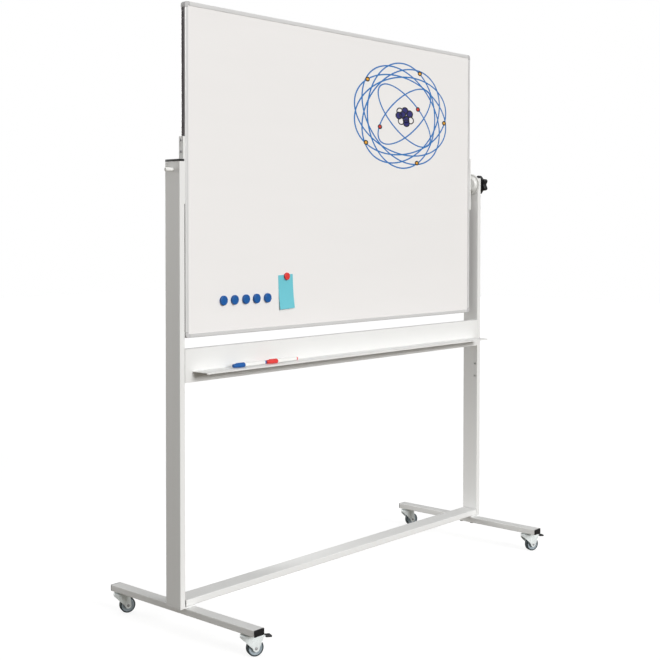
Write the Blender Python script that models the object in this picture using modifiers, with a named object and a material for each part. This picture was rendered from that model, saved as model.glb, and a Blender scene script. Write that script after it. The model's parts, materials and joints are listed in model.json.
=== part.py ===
"""Rolling whiteboard: a double-sided board that tilts between two uprights on a wheeled stand.

Metres, +Z up. The origin lies on the floor under the middle of the board. +X runs along the board
towards the clamp knob, and the pen shelf is on the -Y side.
"""

import math

import bmesh
import bpy
from mathutils import Matrix

# Fits
GAP = 0.0003  # between pieces that touch
RUN = 0.0004  # radial play of a pin in its hole
CUT_OVER = 0.010  # how far a cutter runs past a wall

# Board
BOARD_WIDTH = 1.500
BOARD_HEIGHT = 1.000
BOARD_THICKNESS = 0.020
FRAME_FACE = 0.012
FRAME_LIP = 0.0015
FRAME_WEB = 0.0022
FRAME_EDGE_RADIUS = 0.003
FRAME_GROOVE_WIDTH = 0.005
FRAME_GROOVE_DEPTH = 0.001
CORNER_LEG = 0.018
CORNER_RADIUS = 0.0115
CORNER_EDGE = 0.001
SHEET_THICKNESS = 0.0004
COAT_THICKNESS = 0.0002
COAT_MARGIN = 0.0005  # between the fired coat and the frame's lip
PANEL_PLAY = 0.0006

# Tilt axis
TILT_HEIGHT = 1.391
PIVOT_BAR_LENGTH = 0.200
PIVOT_BAR_WIDTH = 0.018
PIVOT_BAR_THICKNESS = 0.008
PIVOT_BAR_RADIUS = 0.002
PIN_RADIUS = 0.006
PIN_REACH = 0.028
PIN_TIP = 0.003
SHOULDER_RADIUS = 0.016
DISC_RADIUS = 0.040
DISC_FLANGE = 0.005
DISC_BOSS = 0.0096
DISC_BOSS_RADIUS = 0.026
DISC_RECESS_RADIUS = 0.021
DISC_RECESS = 0.0015

# Clamp knob
KNOB_RADIUS = 0.0365
KNOB_VALLEY = 0.0274
KNOB_LOBES = 6
KNOB_HEAD = 0.024
KNOB_EDGE = 0.004
KNOB_HUB = 0.026
KNOB_HUB_RADIUS = 0.015
KNOB_THREAD = 0.034

# Uprights
UPRIGHT_WIDTH = 0.020
UPRIGHT_DEPTH = 0.065
UPRIGHT_WALL = 0.002
UPRIGHT_ABOVE_AXIS = 0.024
TUBE_RADIUS = 0.0025
UPRIGHT_CAP = 0.0065
PLUG_TO_PIN = 0.003

# Base
FOOT_WIDTH = 0.040
FOOT_HEIGHT = 0.020
FOOT_LENGTH = 0.634
FOOT_WALL = 0.0015
FOOT_CAP = 0.003
PLATE_THICKNESS = 0.004
CROSSBAR_HEIGHT = 0.020
CROSSBAR_WALL = 0.002
CROSSBAR_END_GAP = 0.003
BOLT_RADIUS = 0.004
BOLT_HEAD_RADIUS = 0.0075
BOLT_HEAD_HEIGHT = 0.0055
BOLT_SPREAD = 0.046
BOLT_THREAD = 0.006

# Pen tray
BOARD_TO_TRAY = 0.0295
TRAY_HEIGHT = 0.100
TRAY_DEPTH = 0.022
TRAY_SHEET = 0.0015
SHELF_DROP = 0.0675
SHELF_DEPTH = 0.065
SHELF_INSET = 0.0285
SHELF_LIP = 0.0045
SHELF_FLANGE = 0.014
TRAY_HOLE_RADIUS = 0.0036
TRAY_HOLE_SPACING = 0.048
TRAY_HOLE_SETBACK = 0.0113
TRAY_STEP = 0.146

# Casters
WHEEL_RADIUS = 0.025
TYRE_WIDTH = 0.018
TYRE_THICKNESS = 0.0042
TYRE_SHOULDER = 0.0035
HUB_WIDTH = 0.022
HUB_RADIUS = 0.008
WEB_THICKNESS = 0.009
RIM_LAND = 0.003
RING_RADIUS = 0.0135
RING_HEIGHT = 0.0014
AXLE_RADIUS = 0.003
AXLE_HEAD_RADIUS = 0.0045
AXLE_HEAD = 0.002
HUB_PLAY = 0.0005
CASTER_TRAIL = 0.024
CASTER_ANGLE = math.radians(-24)
FRONT_CASTER_INSET = 0.050
REAR_CASTER_INSET = 0.021
CROWN_SPACE = 0.014
CROWN_RADIUS = 0.020
FORK_SHEET = 0.002
SKIRT_HEIGHT = 0.009
LEG_END_RADIUS = 0.010
BRAKED_LEG_TOP = 0.023
PLAIN_LEG_TOP = 0.0065
RACE_RADIUS = 0.015
RACE_HEIGHT = 0.0043
STEM_RADIUS = 0.005
STEM_GRIP = 0.012
RIVET_RADIUS = 0.008
RIVET_HEIGHT = 0.0025

# Brakes
LEVER_PIN_RADIUS = 0.0022
LEVER_PIN_PROUD = 0.001
LEVER_PIN_AHEAD = 0.001
LEVER_PIN_OVER_TYRE = 0.006
LEVER_WIDTH = 0.014
LEVER_SHEET = 0.002
LEVER_RISE = 0.0045
LEVER_RISE_RUN = 0.007
LEVER_FLAT_END = 0.016
LEVER_BEND_END = 0.028
LEVER_DROP = 0.0015
LEVER_REACH = 0.047
LEVER_SAG = 0.003
SHOE_OUT = 0.009
SHOE_DOWN = 0.0045
PAD_WIDTH = 0.020
PAD_THICKNESS = 0.006
PAD_EDGE = 0.002
PAD_WALL = 0.002

# Facets
ARC_STEPS = 3
HOLE_STEPS = 12
TURN_STEPS = 24
CORE_STEPS = 20
TYRE_STEPS = 28
LOBE_STEPS = 8
FLAT_ANGLE = math.radians(0.5)

# Places that follow from the sizes
UPRIGHT_INNER = BOARD_WIDTH / 2 + 3 * GAP + PIVOT_BAR_THICKNESS + DISC_BOSS + DISC_FLANGE
UPRIGHT_MID = UPRIGHT_INNER + UPRIGHT_WIDTH / 2
UPRIGHT_OUTER = UPRIGHT_INNER + UPRIGHT_WIDTH
FOOT_MID = UPRIGHT_INNER - FOOT_WIDTH / 2
AXLE_HEIGHT = WHEEL_RADIUS
FORK_TOP = 2 * WHEEL_RADIUS + CROWN_SPACE + FORK_SHEET
FOOT_BOTTOM = FORK_TOP + RUN + RACE_HEIGHT + GAP
FOOT_TOP = FOOT_BOTTOM + FOOT_HEIGHT
PLATE_BOTTOM = FOOT_TOP + GAP
PLATE_TOP = PLATE_BOTTOM + PLATE_THICKNESS
CROSSBAR_BOTTOM = PLATE_TOP + GAP
UPRIGHT_TOP = TILT_HEIGHT + UPRIGHT_ABOVE_AXIS
TRAY_TOP = TILT_HEIGHT - BOARD_HEIGHT / 2 - BOARD_TO_TRAY
TRAY_MIDDLE = TRAY_TOP - TRAY_HEIGHT / 2
TRAY_HOLE_Y = TRAY_HOLE_SETBACK - UPRIGHT_DEPTH / 2
PIVOT_BAR_OUTER = BOARD_WIDTH / 2 + GAP + PIVOT_BAR_THICKNESS
KNOB_START = UPRIGHT_OUTER + GAP
CASTER_Y = {
    "front": FRONT_CASTER_INSET - FOOT_LENGTH / 2,
    "rear": FOOT_LENGTH / 2 - REAR_CASTER_INSET,
}
FOOT_PLUG = min(FRONT_CASTER_INSET, REAR_CASTER_INSET) - FOOT_CAP - STEM_RADIUS - PLUG_TO_PIN
LEG_INSIDE = HUB_WIDTH / 2 + HUB_PLAY
LEG_OUTSIDE = LEG_INSIDE + FORK_SHEET
LEVER_PIN_HEIGHT = 2 * WHEEL_RADIUS + LEVER_PIN_OVER_TYRE

# Turns that lay local Z along a world axis
ALONG_X = Matrix.Rotation(math.pi / 2, 4, "Z") @ Matrix.Rotation(math.pi / 2, 4, "X")
ALONG_Y = Matrix.Rotation(math.pi / 2, 4, "X")
UPRIGHT = Matrix.Identity(4)
ABOUT_Y = Matrix.Rotation(-math.pi / 2, 4, "X")
SIDES = {"left": -1, "right": 1}
ENDS = {"front": -1, "rear": 1}

FINISHES = {
    "powder_coat": ((0.82, 0.82, 0.80), 0.42, 0.0),
    "frame_metal": ((0.74, 0.74, 0.74), 0.35, 0.6),
    "corner_plastic": ((0.62, 0.63, 0.64), 0.45, 0.0),
    "enamel_sheet": ((0.88, 0.87, 0.86), 0.18, 0.0),
    "board_core": ((0.55, 0.44, 0.32), 0.85, 0.0),
    "white_plastic": ((0.84, 0.84, 0.82), 0.40, 0.0),
    "black_plastic": ((0.015, 0.015, 0.018), 0.38, 0.0),
    "zinc_steel": ((0.72, 0.75, 0.78), 0.28, 1.0),
    "dark_steel": ((0.16, 0.16, 0.16), 0.45, 1.0),
    "wheel_plastic": ((0.36, 0.42, 0.46), 0.45, 0.0),
    "tyre_rubber": ((0.07, 0.08, 0.09), 0.70, 0.0),
}


def clear_scene():
    for old in list(bpy.data.objects):
        bpy.data.objects.remove(old)


def new_collection(name):
    collection = bpy.data.collections.new(name)
    bpy.context.scene.collection.children.link(collection)
    return collection


def new_finish(name):
    """A Principled material of one of the finishes."""
    colour, roughness, metallic = FINISHES[name]
    material = bpy.data.materials.new(name)
    material.use_nodes = True
    shader = material.node_tree.nodes["Principled BSDF"]
    shader.inputs["Base Color"].default_value = (*colour, 1.0)
    shader.inputs["Roughness"].default_value = roughness
    shader.inputs["Metallic"].default_value = metallic
    return material


def arc(centre, radius, start, end, steps):
    """Points of an arc, both ends included. Angles in degrees."""
    points = []
    for step in range(steps + 1):
        angle = math.radians(start + (end - start) * step / steps)
        points.append((centre[0] + radius * math.cos(angle), centre[1] + radius * math.sin(angle)))
    return points


def circle(radius, steps=HOLE_STEPS, centre=(0.0, 0.0)):
    return arc(centre, radius, 0, 360 * (steps - 1) / steps, steps - 1)


def rounded(corners, radii):
    """The outline through the corners, each one filleted by its own radius, or left sharp at 0."""
    points = []
    count = len(corners)
    for index, (x, y) in enumerate(corners):
        radius = radii[index]
        if radius <= 0:
            points.append((x, y))
            continue
        before = corners[index - 1]
        after = corners[(index + 1) % count]
        back = math.atan2(before[1] - y, before[0] - x)
        ahead = math.atan2(after[1] - y, after[0] - x)
        opening = (ahead - back + math.pi) % (2 * math.pi) - math.pi
        middle = back + opening / 2
        reach = radius / math.sin(abs(opening) / 2)
        centre = (x + reach * math.cos(middle), y + reach * math.sin(middle))
        sweep = math.copysign(math.pi - abs(opening), -opening)
        start = middle + math.pi - sweep / 2
        points += arc(centre, radius, math.degrees(start), math.degrees(start + sweep), ARC_STEPS)
    return points


def rectangle(width, height, radius):
    x = width / 2
    y = height / 2
    return rounded([(-x, -y), (x, -y), (x, y), (-x, y)], [radius] * 4)


def strip(path, thickness):
    """The outline of a bent sheet that follows a path of straight runs."""
    normals = []
    for start, end in zip(path, path[1:]):
        run = math.dist(start, end)
        normals.append(((start[1] - end[1]) / run, (end[0] - start[0]) / run))
    one_side = []
    other_side = []
    for index, (x, y) in enumerate(path):
        before = normals[max(index - 1, 0)]
        after = normals[min(index, len(normals) - 1)]
        square = 1 + before[0] * after[0] + before[1] * after[1]
        across = ((before[0] + after[0]) / square, (before[1] + after[1]) / square)
        one_side.append((x + across[0] * thickness / 2, y + across[1] * thickness / 2))
        other_side.append((x - across[0] * thickness / 2, y - across[1] * thickness / 2))
    return one_side + other_side[::-1]


def prism(name, loops, length):
    """An outline with its holes, extruded along local Z and centred on it, as a mesh object."""
    curve = bpy.data.curves.new(name, "CURVE")
    curve.dimensions = "2D"
    curve.fill_mode = "BOTH"
    curve.extrude = length / 2
    for loop in loops:
        spline = curve.splines.new("POLY")
        spline.points.add(len(loop) - 1)
        for point, (x, y) in zip(spline.points, loop):
            point.co = (x, y, 0.0, 1.0)
        spline.use_cyclic_u = True
    outline = bpy.data.objects.new(name + "_outline", curve)
    bpy.context.scene.collection.objects.link(outline)
    graph = bpy.context.evaluated_depsgraph_get()
    mesh = bpy.data.meshes.new_from_object(outline.evaluated_get(graph))
    bpy.data.objects.remove(outline)
    work = bmesh.new()
    work.from_mesh(mesh)
    bmesh.ops.remove_doubles(work, verts=work.verts, dist=1e-6)
    bmesh.ops.dissolve_limit(work, angle_limit=FLAT_ANGLE, verts=work.verts, edges=work.edges)
    work.to_mesh(mesh)
    work.free()
    mesh.name = name
    return bpy.data.objects.new(name, mesh)


def tube(name, width, height, wall, length):
    """A rectangular tube along local Z, open at both ends."""
    outside = rectangle(width, height, TUBE_RADIUS)
    inside = rectangle(width - 2 * wall, height - 2 * wall, max(TUBE_RADIUS - wall, 0))
    return prism(name, [outside, inside], length)


def turned(name, profile, steps=TURN_STEPS, bored=False):
    """A profile of (radius, height) points, down its outer side, turned about local Z."""
    edges = [(index, index + 1) for index in range(len(profile) - 1)]
    if bored:
        edges.append((len(profile) - 1, 0))
    mesh = bpy.data.meshes.new(name)
    mesh.from_pydata([(radius, 0.0, height) for radius, height in profile], edges, [])
    piece = bpy.data.objects.new(name, mesh)
    screw = piece.modifiers.new("Turn", "SCREW")
    screw.steps = steps
    screw.render_steps = steps
    screw.use_merge_vertices = True
    screw.merge_threshold = 0.00001
    return piece


def rod(name, radius, length, steps=HOLE_STEPS):
    """A cylinder along local Z, centred on it."""
    mesh = bpy.data.meshes.new(name)
    work = bmesh.new()
    bmesh.ops.create_cone(
        work, cap_ends=True, segments=steps, radius1=radius, radius2=radius, depth=length
    )
    work.to_mesh(mesh)
    work.free()
    return bpy.data.objects.new(name, mesh)


def block(name, width, depth, height):
    """A box centred on its origin."""
    mesh = bpy.data.meshes.new(name)
    work = bmesh.new()
    bmesh.ops.create_cube(work, size=1.0)
    bmesh.ops.scale(work, vec=(width, depth, height), verts=work.verts)
    work.to_mesh(mesh)
    work.free()
    return bpy.data.objects.new(name, mesh)


def bevel(piece, width, segments=2):
    """Rounds the square edges of a piece."""
    modifier = piece.modifiers.new("Round edges", "BEVEL")
    modifier.width = width
    modifier.segments = segments
    modifier.limit_method = "ANGLE"
    modifier.angle_limit = math.radians(50)


def combine(piece, tool, operation, place=(0.0, 0.0, 0.0), turn=UPRIGHT):
    """Cuts, joins or trims a piece by a tool that is placed in the piece's own frame."""
    tool.name = piece.name + "_tool"
    CUTTERS.objects.link(tool)
    tool.parent = piece
    tool.matrix_basis = Matrix.Translation(place) @ turn
    tool.hide_render = True
    tool.display_type = "WIRE"
    modifier = piece.modifiers.new(operation.title(), "BOOLEAN")
    modifier.operation = operation
    modifier.solver = "EXACT"
    modifier.object = tool


def drill(piece, radius, depth, place, turn=UPRIGHT):
    combine(piece, rod("drill", radius, depth), "DIFFERENCE", place, turn)


def smooth(piece):
    """Shades round faces smooth and keeps the square edges sharp."""
    for modifier in piece.modifiers:
        if modifier.type == "SCREW":
            modifier.use_smooth_shade = True
    if piece.data.polygons:
        piece.data.shade_smooth()
        piece.data.set_sharp_from_angle(angle=math.radians(35))


def add(piece, finish, place=(0.0, 0.0, 0.0), turn=UPRIGHT, parent=None):
    """Puts a finished piece in its place, with its finish."""
    PARTS.objects.link(piece)
    piece.parent = parent
    piece.matrix_basis = Matrix.Translation(place) @ turn
    piece.data.materials.append(MATERIALS[finish])
    smooth(piece)
    return piece


def axis_empty(name, place, turn=UPRIGHT, parent=None):
    """An empty on a joint's axis, which carries the pieces that turn there."""
    empty = bpy.data.objects.new(name, None)
    empty.empty_display_size = 0.05
    PARTS.objects.link(empty)
    empty.parent = parent
    empty.matrix_basis = Matrix.Translation(place) @ turn
    return empty


def plugged_cap(name, width, height, wall, thickness, plug_length):
    """A tube's end cap: a plate of the tube's outline with a plug that fits inside it, along +Z."""
    cap = prism(name, [rectangle(width, height, TUBE_RADIUS)], thickness)
    play = 2 * (wall + GAP)
    overlap = thickness / 2
    length = plug_length + overlap
    plug = prism("plug", [rectangle(width - play, height - play, TUBE_RADIUS / 2)], length)
    combine(cap, plug, "UNION", (0, 0, -length / 2))
    return cap


def build_foot(side, x):
    length = FOOT_LENGTH - 2 * (FOOT_CAP + GAP)
    foot = tube("foot_" + side, FOOT_WIDTH, FOOT_HEIGHT, FOOT_WALL, length)
    for end_name, end in ENDS.items():
        drill(foot, BOLT_RADIUS + RUN, 2 * FOOT_HEIGHT, (0, 0, end * BOLT_SPREAD / 2), ALONG_Y)
        stem_place = (0, -FOOT_HEIGHT / 2, -CASTER_Y[end_name])
        drill(foot, STEM_RADIUS + RUN, FOOT_HEIGHT, stem_place, ALONG_Y)
    add(foot, "powder_coat", (x, 0, FOOT_BOTTOM + FOOT_HEIGHT / 2), ALONG_Y)
    for end_name, end in ENDS.items():
        name = f"foot_cap_{side}_{end_name}"
        cap = plugged_cap(name, FOOT_WIDTH, FOOT_HEIGHT, FOOT_WALL, FOOT_CAP, FOOT_PLUG)
        facing = Matrix.Rotation(math.pi / 2 * -end, 4, "X")
        place = (x, end * (FOOT_LENGTH - FOOT_CAP) / 2, FOOT_BOTTOM + FOOT_HEIGHT / 2)
        add(cap, "black_plastic", place, facing)


def build_base_plate(side, sign):
    """The plate under an upright: it lies on the foot and carries the crossbar's end."""
    width = FOOT_WIDTH + UPRIGHT_WIDTH
    middle = UPRIGHT_OUTER - width / 2
    outline = rectangle(width, UPRIGHT_DEPTH, TUBE_RADIUS)
    hole_x = sign * (FOOT_MID - middle)
    holes = [
        circle(BOLT_RADIUS + RUN, centre=(hole_x, end * BOLT_SPREAD / 2)) for end in ENDS.values()
    ]
    plate = prism("base_plate_" + side, [outline, *holes], PLATE_THICKNESS)
    add(plate, "powder_coat", (sign * middle, 0, PLATE_BOTTOM + PLATE_THICKNESS / 2))


def build_foot_bolts(side, x):
    """Hex bolts up through the foot and the base plate into the crossbar."""
    top = CROSSBAR_BOTTOM + CROSSBAR_WALL + BOLT_THREAD
    head_top = FOOT_BOTTOM - GAP
    shank = top - head_top + BOLT_HEAD_HEIGHT / 2
    for end_name, end in ENDS.items():
        bolt = rod(f"foot_bolt_{side}_{end_name}", BOLT_HEAD_RADIUS, BOLT_HEAD_HEIGHT, 6)
        combine(bolt, rod("shank", BOLT_RADIUS, shank), "UNION", (0, 0, shank / 2))
        place = (x, end * BOLT_SPREAD / 2, head_top - BOLT_HEAD_HEIGHT / 2)
        add(bolt, "dark_steel", place)


def build_upright(side, sign):
    bottom = PLATE_TOP + GAP
    middle = (UPRIGHT_TOP + bottom) / 2
    upright = tube(
        "upright_" + side, UPRIGHT_WIDTH, UPRIGHT_DEPTH, UPRIGHT_WALL, UPRIGHT_TOP - bottom
    )
    drill(upright, PIN_RADIUS + RUN, 2 * UPRIGHT_WIDTH, (0, 0, TILT_HEIGHT - middle), ALONG_X)
    for drop in (0, TRAY_STEP):
        for rise in (-TRAY_HOLE_SPACING / 2, TRAY_HOLE_SPACING / 2):
            height = TRAY_MIDDLE - drop + rise - middle
            place = (-sign * UPRIGHT_WIDTH / 2, TRAY_HOLE_Y, height)
            drill(upright, TRAY_HOLE_RADIUS, UPRIGHT_WIDTH, place, ALONG_X)
    add(upright, "powder_coat", (sign * UPRIGHT_MID, 0, middle))
    plug = UPRIGHT_ABOVE_AXIS - PIN_RADIUS - PLUG_TO_PIN
    name = "upright_cap_" + side
    cap = plugged_cap(name, UPRIGHT_WIDTH, UPRIGHT_DEPTH, UPRIGHT_WALL, UPRIGHT_CAP, plug)
    add(cap, "black_plastic", (sign * UPRIGHT_MID, 0, UPRIGHT_TOP + GAP + UPRIGHT_CAP / 2))


def build_crossbar():
    length = 2 * (UPRIGHT_INNER - CROSSBAR_END_GAP)
    crossbar = tube("crossbar", UPRIGHT_DEPTH, CROSSBAR_HEIGHT, CROSSBAR_WALL, length)
    for sign in SIDES.values():
        for end in ENDS.values():
            place = (end * BOLT_SPREAD / 2, -CROSSBAR_HEIGHT / 2, sign * FOOT_MID)
            drill(crossbar, BOLT_RADIUS + RUN, CROSSBAR_HEIGHT, place, ALONG_Y)
    add(crossbar, "powder_coat", (0, 0, CROSSBAR_BOTTOM + CROSSBAR_HEIGHT / 2), ALONG_X)


def build_tray_panel():
    """A folded pan, open at the back, between the uprights."""
    length = 2 * (UPRIGHT_INNER - GAP)
    panel = block("tray_panel", length, TRAY_DEPTH, TRAY_HEIGHT)
    work = bmesh.new()
    work.from_mesh(panel.data)
    back = [face for face in work.faces if face.normal.y > 0.5]
    bmesh.ops.delete(work, geom=back, context="FACES_ONLY")
    work.to_mesh(panel.data)
    work.free()
    fold = panel.modifiers.new("Sheet", "SOLIDIFY")
    fold.thickness = TRAY_SHEET
    fold.offset = -1
    fold.use_even_offset = True
    middle_y = (TRAY_DEPTH - UPRIGHT_DEPTH) / 2
    for sign in SIDES.values():
        for rise in (-TRAY_HOLE_SPACING / 2, TRAY_HOLE_SPACING / 2):
            place = (sign * length / 2, TRAY_HOLE_Y - middle_y, rise)
            drill(panel, TRAY_HOLE_RADIUS, CUT_OVER, place, ALONG_X)
    add(panel, "powder_coat", (0, middle_y, TRAY_MIDDLE))


def build_tray_shelf():
    """A folded sheet on the front of the tray panel: back flange, shelf and turned-down lip."""
    half = TRAY_SHEET / 2
    back = -half - GAP
    front = -SHELF_DEPTH + half
    path = [(back, -SHELF_FLANGE), (back, -half), (front, -half), (front, -SHELF_LIP)]
    length = 2 * (UPRIGHT_INNER - SHELF_INSET)
    shelf = prism("tray_shelf", [strip(path, TRAY_SHEET)], length)
    add(shelf, "powder_coat", (0, -UPRIGHT_DEPTH / 2, TRAY_TOP - SHELF_DROP), ALONG_X)


def frame_outline():
    """The frame's section: local X through the board, local Y outwards from the board's edge."""
    face = BOARD_THICKNESS / 2
    inside = face - FRAME_LIP
    groove = FRAME_GROOVE_WIDTH / 2
    half = [
        (groove, -FRAME_GROOVE_DEPTH),
        (groove, 0),
        (face, 0),
        (face, -FRAME_FACE),
        (inside, -FRAME_FACE),
        (inside, -FRAME_WEB),
    ]
    radii = [0, 0, FRAME_EDGE_RADIUS, 0, 0, 0]
    mirrored = [(-x, y) for x, y in reversed(half)]
    return rounded(half + mirrored, radii + radii[::-1])


def build_frame(tilt_axis):
    """Four profiles and four corners round the board."""
    spans = [("top", BOARD_WIDTH, BOARD_HEIGHT), ("right", BOARD_HEIGHT, BOARD_WIDTH)]
    spans += [("bottom", BOARD_WIDTH, BOARD_HEIGHT), ("left", BOARD_HEIGHT, BOARD_WIDTH)]
    for quarter, (name, span, across) in enumerate(spans):
        length = span - 2 * (CORNER_LEG + GAP)
        profile = prism("frame_" + name, [frame_outline()], length)
        turn = Matrix.Rotation(quarter * math.pi / 2, 4, "Y")
        place = turn @ Matrix.Translation((0, 0, across / 2))
        add(profile, "frame_metal", place.translation, turn @ ALONG_X, tilt_axis)
    corners = ["top_right", "bottom_right", "bottom_left", "top_left"]
    for quarter, name in enumerate(corners):
        corner = corner_piece("frame_corner_" + name)
        turn = Matrix.Rotation(quarter * math.pi / 2, 4, "Y")
        x = BOARD_WIDTH / 2 * (1 if "right" in name else -1)
        z = BOARD_HEIGHT / 2 * (1 if "top" in name else -1)
        add(corner, "corner_plastic", (x, 0, z), turn @ ALONG_Y, tilt_axis)


def corner_piece(name):
    """A moulded corner with its outer tip at the origin, hollow for the corner of the board."""
    leg = -CORNER_LEG
    face = -FRAME_FACE
    corners = [(leg, 0), (leg, face), (face, face), (face, leg), (0, leg), (0, 0)]
    corner = prism(name, [rounded(corners, [0, 0, 0, 0, 0, CORNER_RADIUS])], BOARD_THICKNESS)
    bevel(corner, CORNER_EDGE)
    web = -FRAME_WEB
    far = leg - CUT_OVER
    pocket = [(far, web), (far, far), (web, far), (web, web)]
    pocket_radius = CORNER_RADIUS - FRAME_WEB
    hollow = prism(
        "pocket", [rounded(pocket, [0, 0, 0, pocket_radius])], BOARD_THICKNESS - 2 * FRAME_LIP
    )
    combine(corner, hollow, "DIFFERENCE")
    return corner


def writing_sheet(name, outline, outwards):
    """A steel sheet with a fired coat that stops short of the frame's lip."""
    sheet = prism(name, [outline], SHEET_THICKNESS)
    bare = 2 * (FRAME_FACE + COAT_MARGIN)
    depth = SHEET_THICKNESS / 2 + COAT_THICKNESS
    coat = prism("coat", [rectangle(BOARD_WIDTH - bare, BOARD_HEIGHT - bare, 0)], depth)
    combine(sheet, coat, "UNION", (0, 0, outwards * depth / 2))
    return sheet


def build_board(tilt_axis):
    """Two coated sheets on a light core, held in the frame's channel."""
    edge = FRAME_WEB + PANEL_PLAY
    outline = rectangle(BOARD_WIDTH - 2 * edge, BOARD_HEIGHT - 2 * edge, CORNER_RADIUS - edge)
    panel = BOARD_THICKNESS - 2 * (FRAME_LIP + GAP)
    core = panel - 2 * (SHEET_THICKNESS + GAP)
    add(prism("board_core", [outline], core), "board_core", (0, 0, 0), ALONG_Y, tilt_axis)
    for end_name, end in ENDS.items():
        sheet = writing_sheet("writing_sheet_" + end_name, outline, -end)
        y = end * (panel - SHEET_THICKNESS) / 2
        add(sheet, "enamel_sheet", (0, y, 0), ALONG_Y, tilt_axis)


def build_pivots(tilt_axis):
    """A bar on each side of the frame, the left pivot pin, the right friction disc and clamp bolt."""
    for side, sign in SIDES.items():
        outline = rectangle(PIVOT_BAR_WIDTH, PIVOT_BAR_LENGTH, PIVOT_BAR_RADIUS)
        bar = prism("pivot_bar_" + side, [outline, circle(PIN_RADIUS + GAP)], PIVOT_BAR_THICKNESS)
        x = sign * (PIVOT_BAR_OUTER - PIVOT_BAR_THICKNESS / 2)
        add(bar, "powder_coat", (x, 0, 0), ALONG_X, tilt_axis)
    start = BOARD_WIDTH / 2 + 2 * GAP
    tip = UPRIGHT_OUTER + PIN_REACH
    shoulder_out = UPRIGHT_INNER - GAP
    shoulder_in = PIVOT_BAR_OUTER + GAP
    pin_profile = [
        (0, tip),
        (PIN_RADIUS - PIN_TIP, tip),
        (PIN_RADIUS, tip - PIN_TIP),
        (PIN_RADIUS, shoulder_out),
        (SHOULDER_RADIUS, shoulder_out),
        (SHOULDER_RADIUS, shoulder_in),
        (PIN_RADIUS, shoulder_in),
        (PIN_RADIUS, start),
        (0, start),
    ]
    half_turn = Matrix.Rotation(math.pi, 4, "Z")
    add(turned("pivot_pin", pin_profile), "white_plastic", (0, 0, 0), half_turn @ ALONG_X, tilt_axis)
    bore = PIN_RADIUS + GAP
    boss_out = shoulder_in + DISC_BOSS
    disc_profile = [
        (bore, shoulder_out),
        (DISC_RADIUS, shoulder_out),
        (DISC_RADIUS, boss_out),
        (DISC_BOSS_RADIUS, boss_out),
        (DISC_BOSS_RADIUS, shoulder_in + DISC_RECESS),
        (DISC_RECESS_RADIUS, shoulder_in),
        (bore, shoulder_in),
    ]
    disc = turned("friction_disc", disc_profile, bored=True)
    add(disc, "white_plastic", (0, 0, 0), ALONG_X, tilt_axis)
    bolt_end = KNOB_START + KNOB_THREAD
    bolt = rod("clamp_bolt", PIN_RADIUS, bolt_end - start, TURN_STEPS)
    add(bolt, "zinc_steel", ((start + bolt_end) / 2, 0, 0), ALONG_X, tilt_axis)


def star_outline():
    """A ring of lobes, with one lobe straight up."""
    mean = (KNOB_RADIUS + KNOB_VALLEY) / 2
    swing = (KNOB_RADIUS - KNOB_VALLEY) / 2
    points = []
    for step in range(KNOB_LOBES * LOBE_STEPS):
        angle = 2 * math.pi * step / (KNOB_LOBES * LOBE_STEPS)
        radius = mean + swing * math.cos(KNOB_LOBES * angle)
        points.append((-radius * math.sin(angle), radius * math.cos(angle)))
    return points


def build_knob():
    knob_axis = axis_empty("knob_axis", (KNOB_START, 0, TILT_HEIGHT))
    knob = prism("clamp_knob", [star_outline()], KNOB_HEAD)
    bevel(knob, KNOB_EDGE)
    overlap = KNOB_HEAD / 4
    hub = rod("hub", KNOB_HUB_RADIUS, KNOB_HUB + overlap, TURN_STEPS)
    head_back = -KNOB_HEAD / 2
    combine(knob, hub, "UNION", (0, 0, head_back + overlap - (KNOB_HUB + overlap) / 2))
    bore = KNOB_THREAD + GAP
    drill(knob, PIN_RADIUS + GAP, 2 * bore, (0, 0, head_back - KNOB_HUB))
    add(knob, "black_plastic", (KNOB_HUB + KNOB_HEAD / 2, 0, 0), ALONG_X, knob_axis)


def caster_stem(name):
    """The fixed half of a caster: threaded stem, raceway, kingpin and its riveted end."""
    race_top = FOOT_BOTTOM - GAP
    race_bottom = race_top - RACE_HEIGHT
    rivet_top = FORK_TOP - FORK_SHEET - GAP
    profile = [
        (0, FOOT_BOTTOM + STEM_GRIP),
        (STEM_RADIUS, FOOT_BOTTOM + STEM_GRIP),
        (STEM_RADIUS, race_top),
        (RACE_RADIUS, race_top),
        (RACE_RADIUS, race_bottom),
        (STEM_RADIUS, race_bottom),
        (STEM_RADIUS, rivet_top),
        (RIVET_RADIUS, rivet_top),
        (RIVET_RADIUS, rivet_top - RIVET_HEIGHT),
        (0, rivet_top - RIVET_HEIGHT),
    ]
    return turned(name, profile, HOLE_STEPS + 4)


def fork_plan(crown, half_width, end):
    """The fork from above: a round crown over the stem, running into two parallel legs."""
    meet = math.degrees(math.asin(half_width / crown))
    return arc((0, 0), crown, meet, 360 - meet, 4 * ARC_STEPS) + [(end, -half_width), (end, half_width)]


def fork_side(leg_top):
    """The fork from the side: a skirt that slopes down to the legs, which end round the axle."""
    front = -CROWN_RADIUS - CUT_OVER
    skirt = FORK_TOP - SKIRT_HEIGHT
    above = FORK_TOP + CUT_OVER
    back = CASTER_TRAIL + leg_top
    flare = 2 * WHEEL_RADIUS + LEVER_PIN_OVER_TYRE
    leg_end = arc((CASTER_TRAIL, AXLE_HEIGHT), LEG_END_RADIUS, 190, 360, 2 * ARC_STEPS)
    skirt_edge = [(front, above), (front, skirt), (-CROWN_RADIUS, skirt)]
    return skirt_edge + leg_end + [(back, flare), (back, above)]


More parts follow.
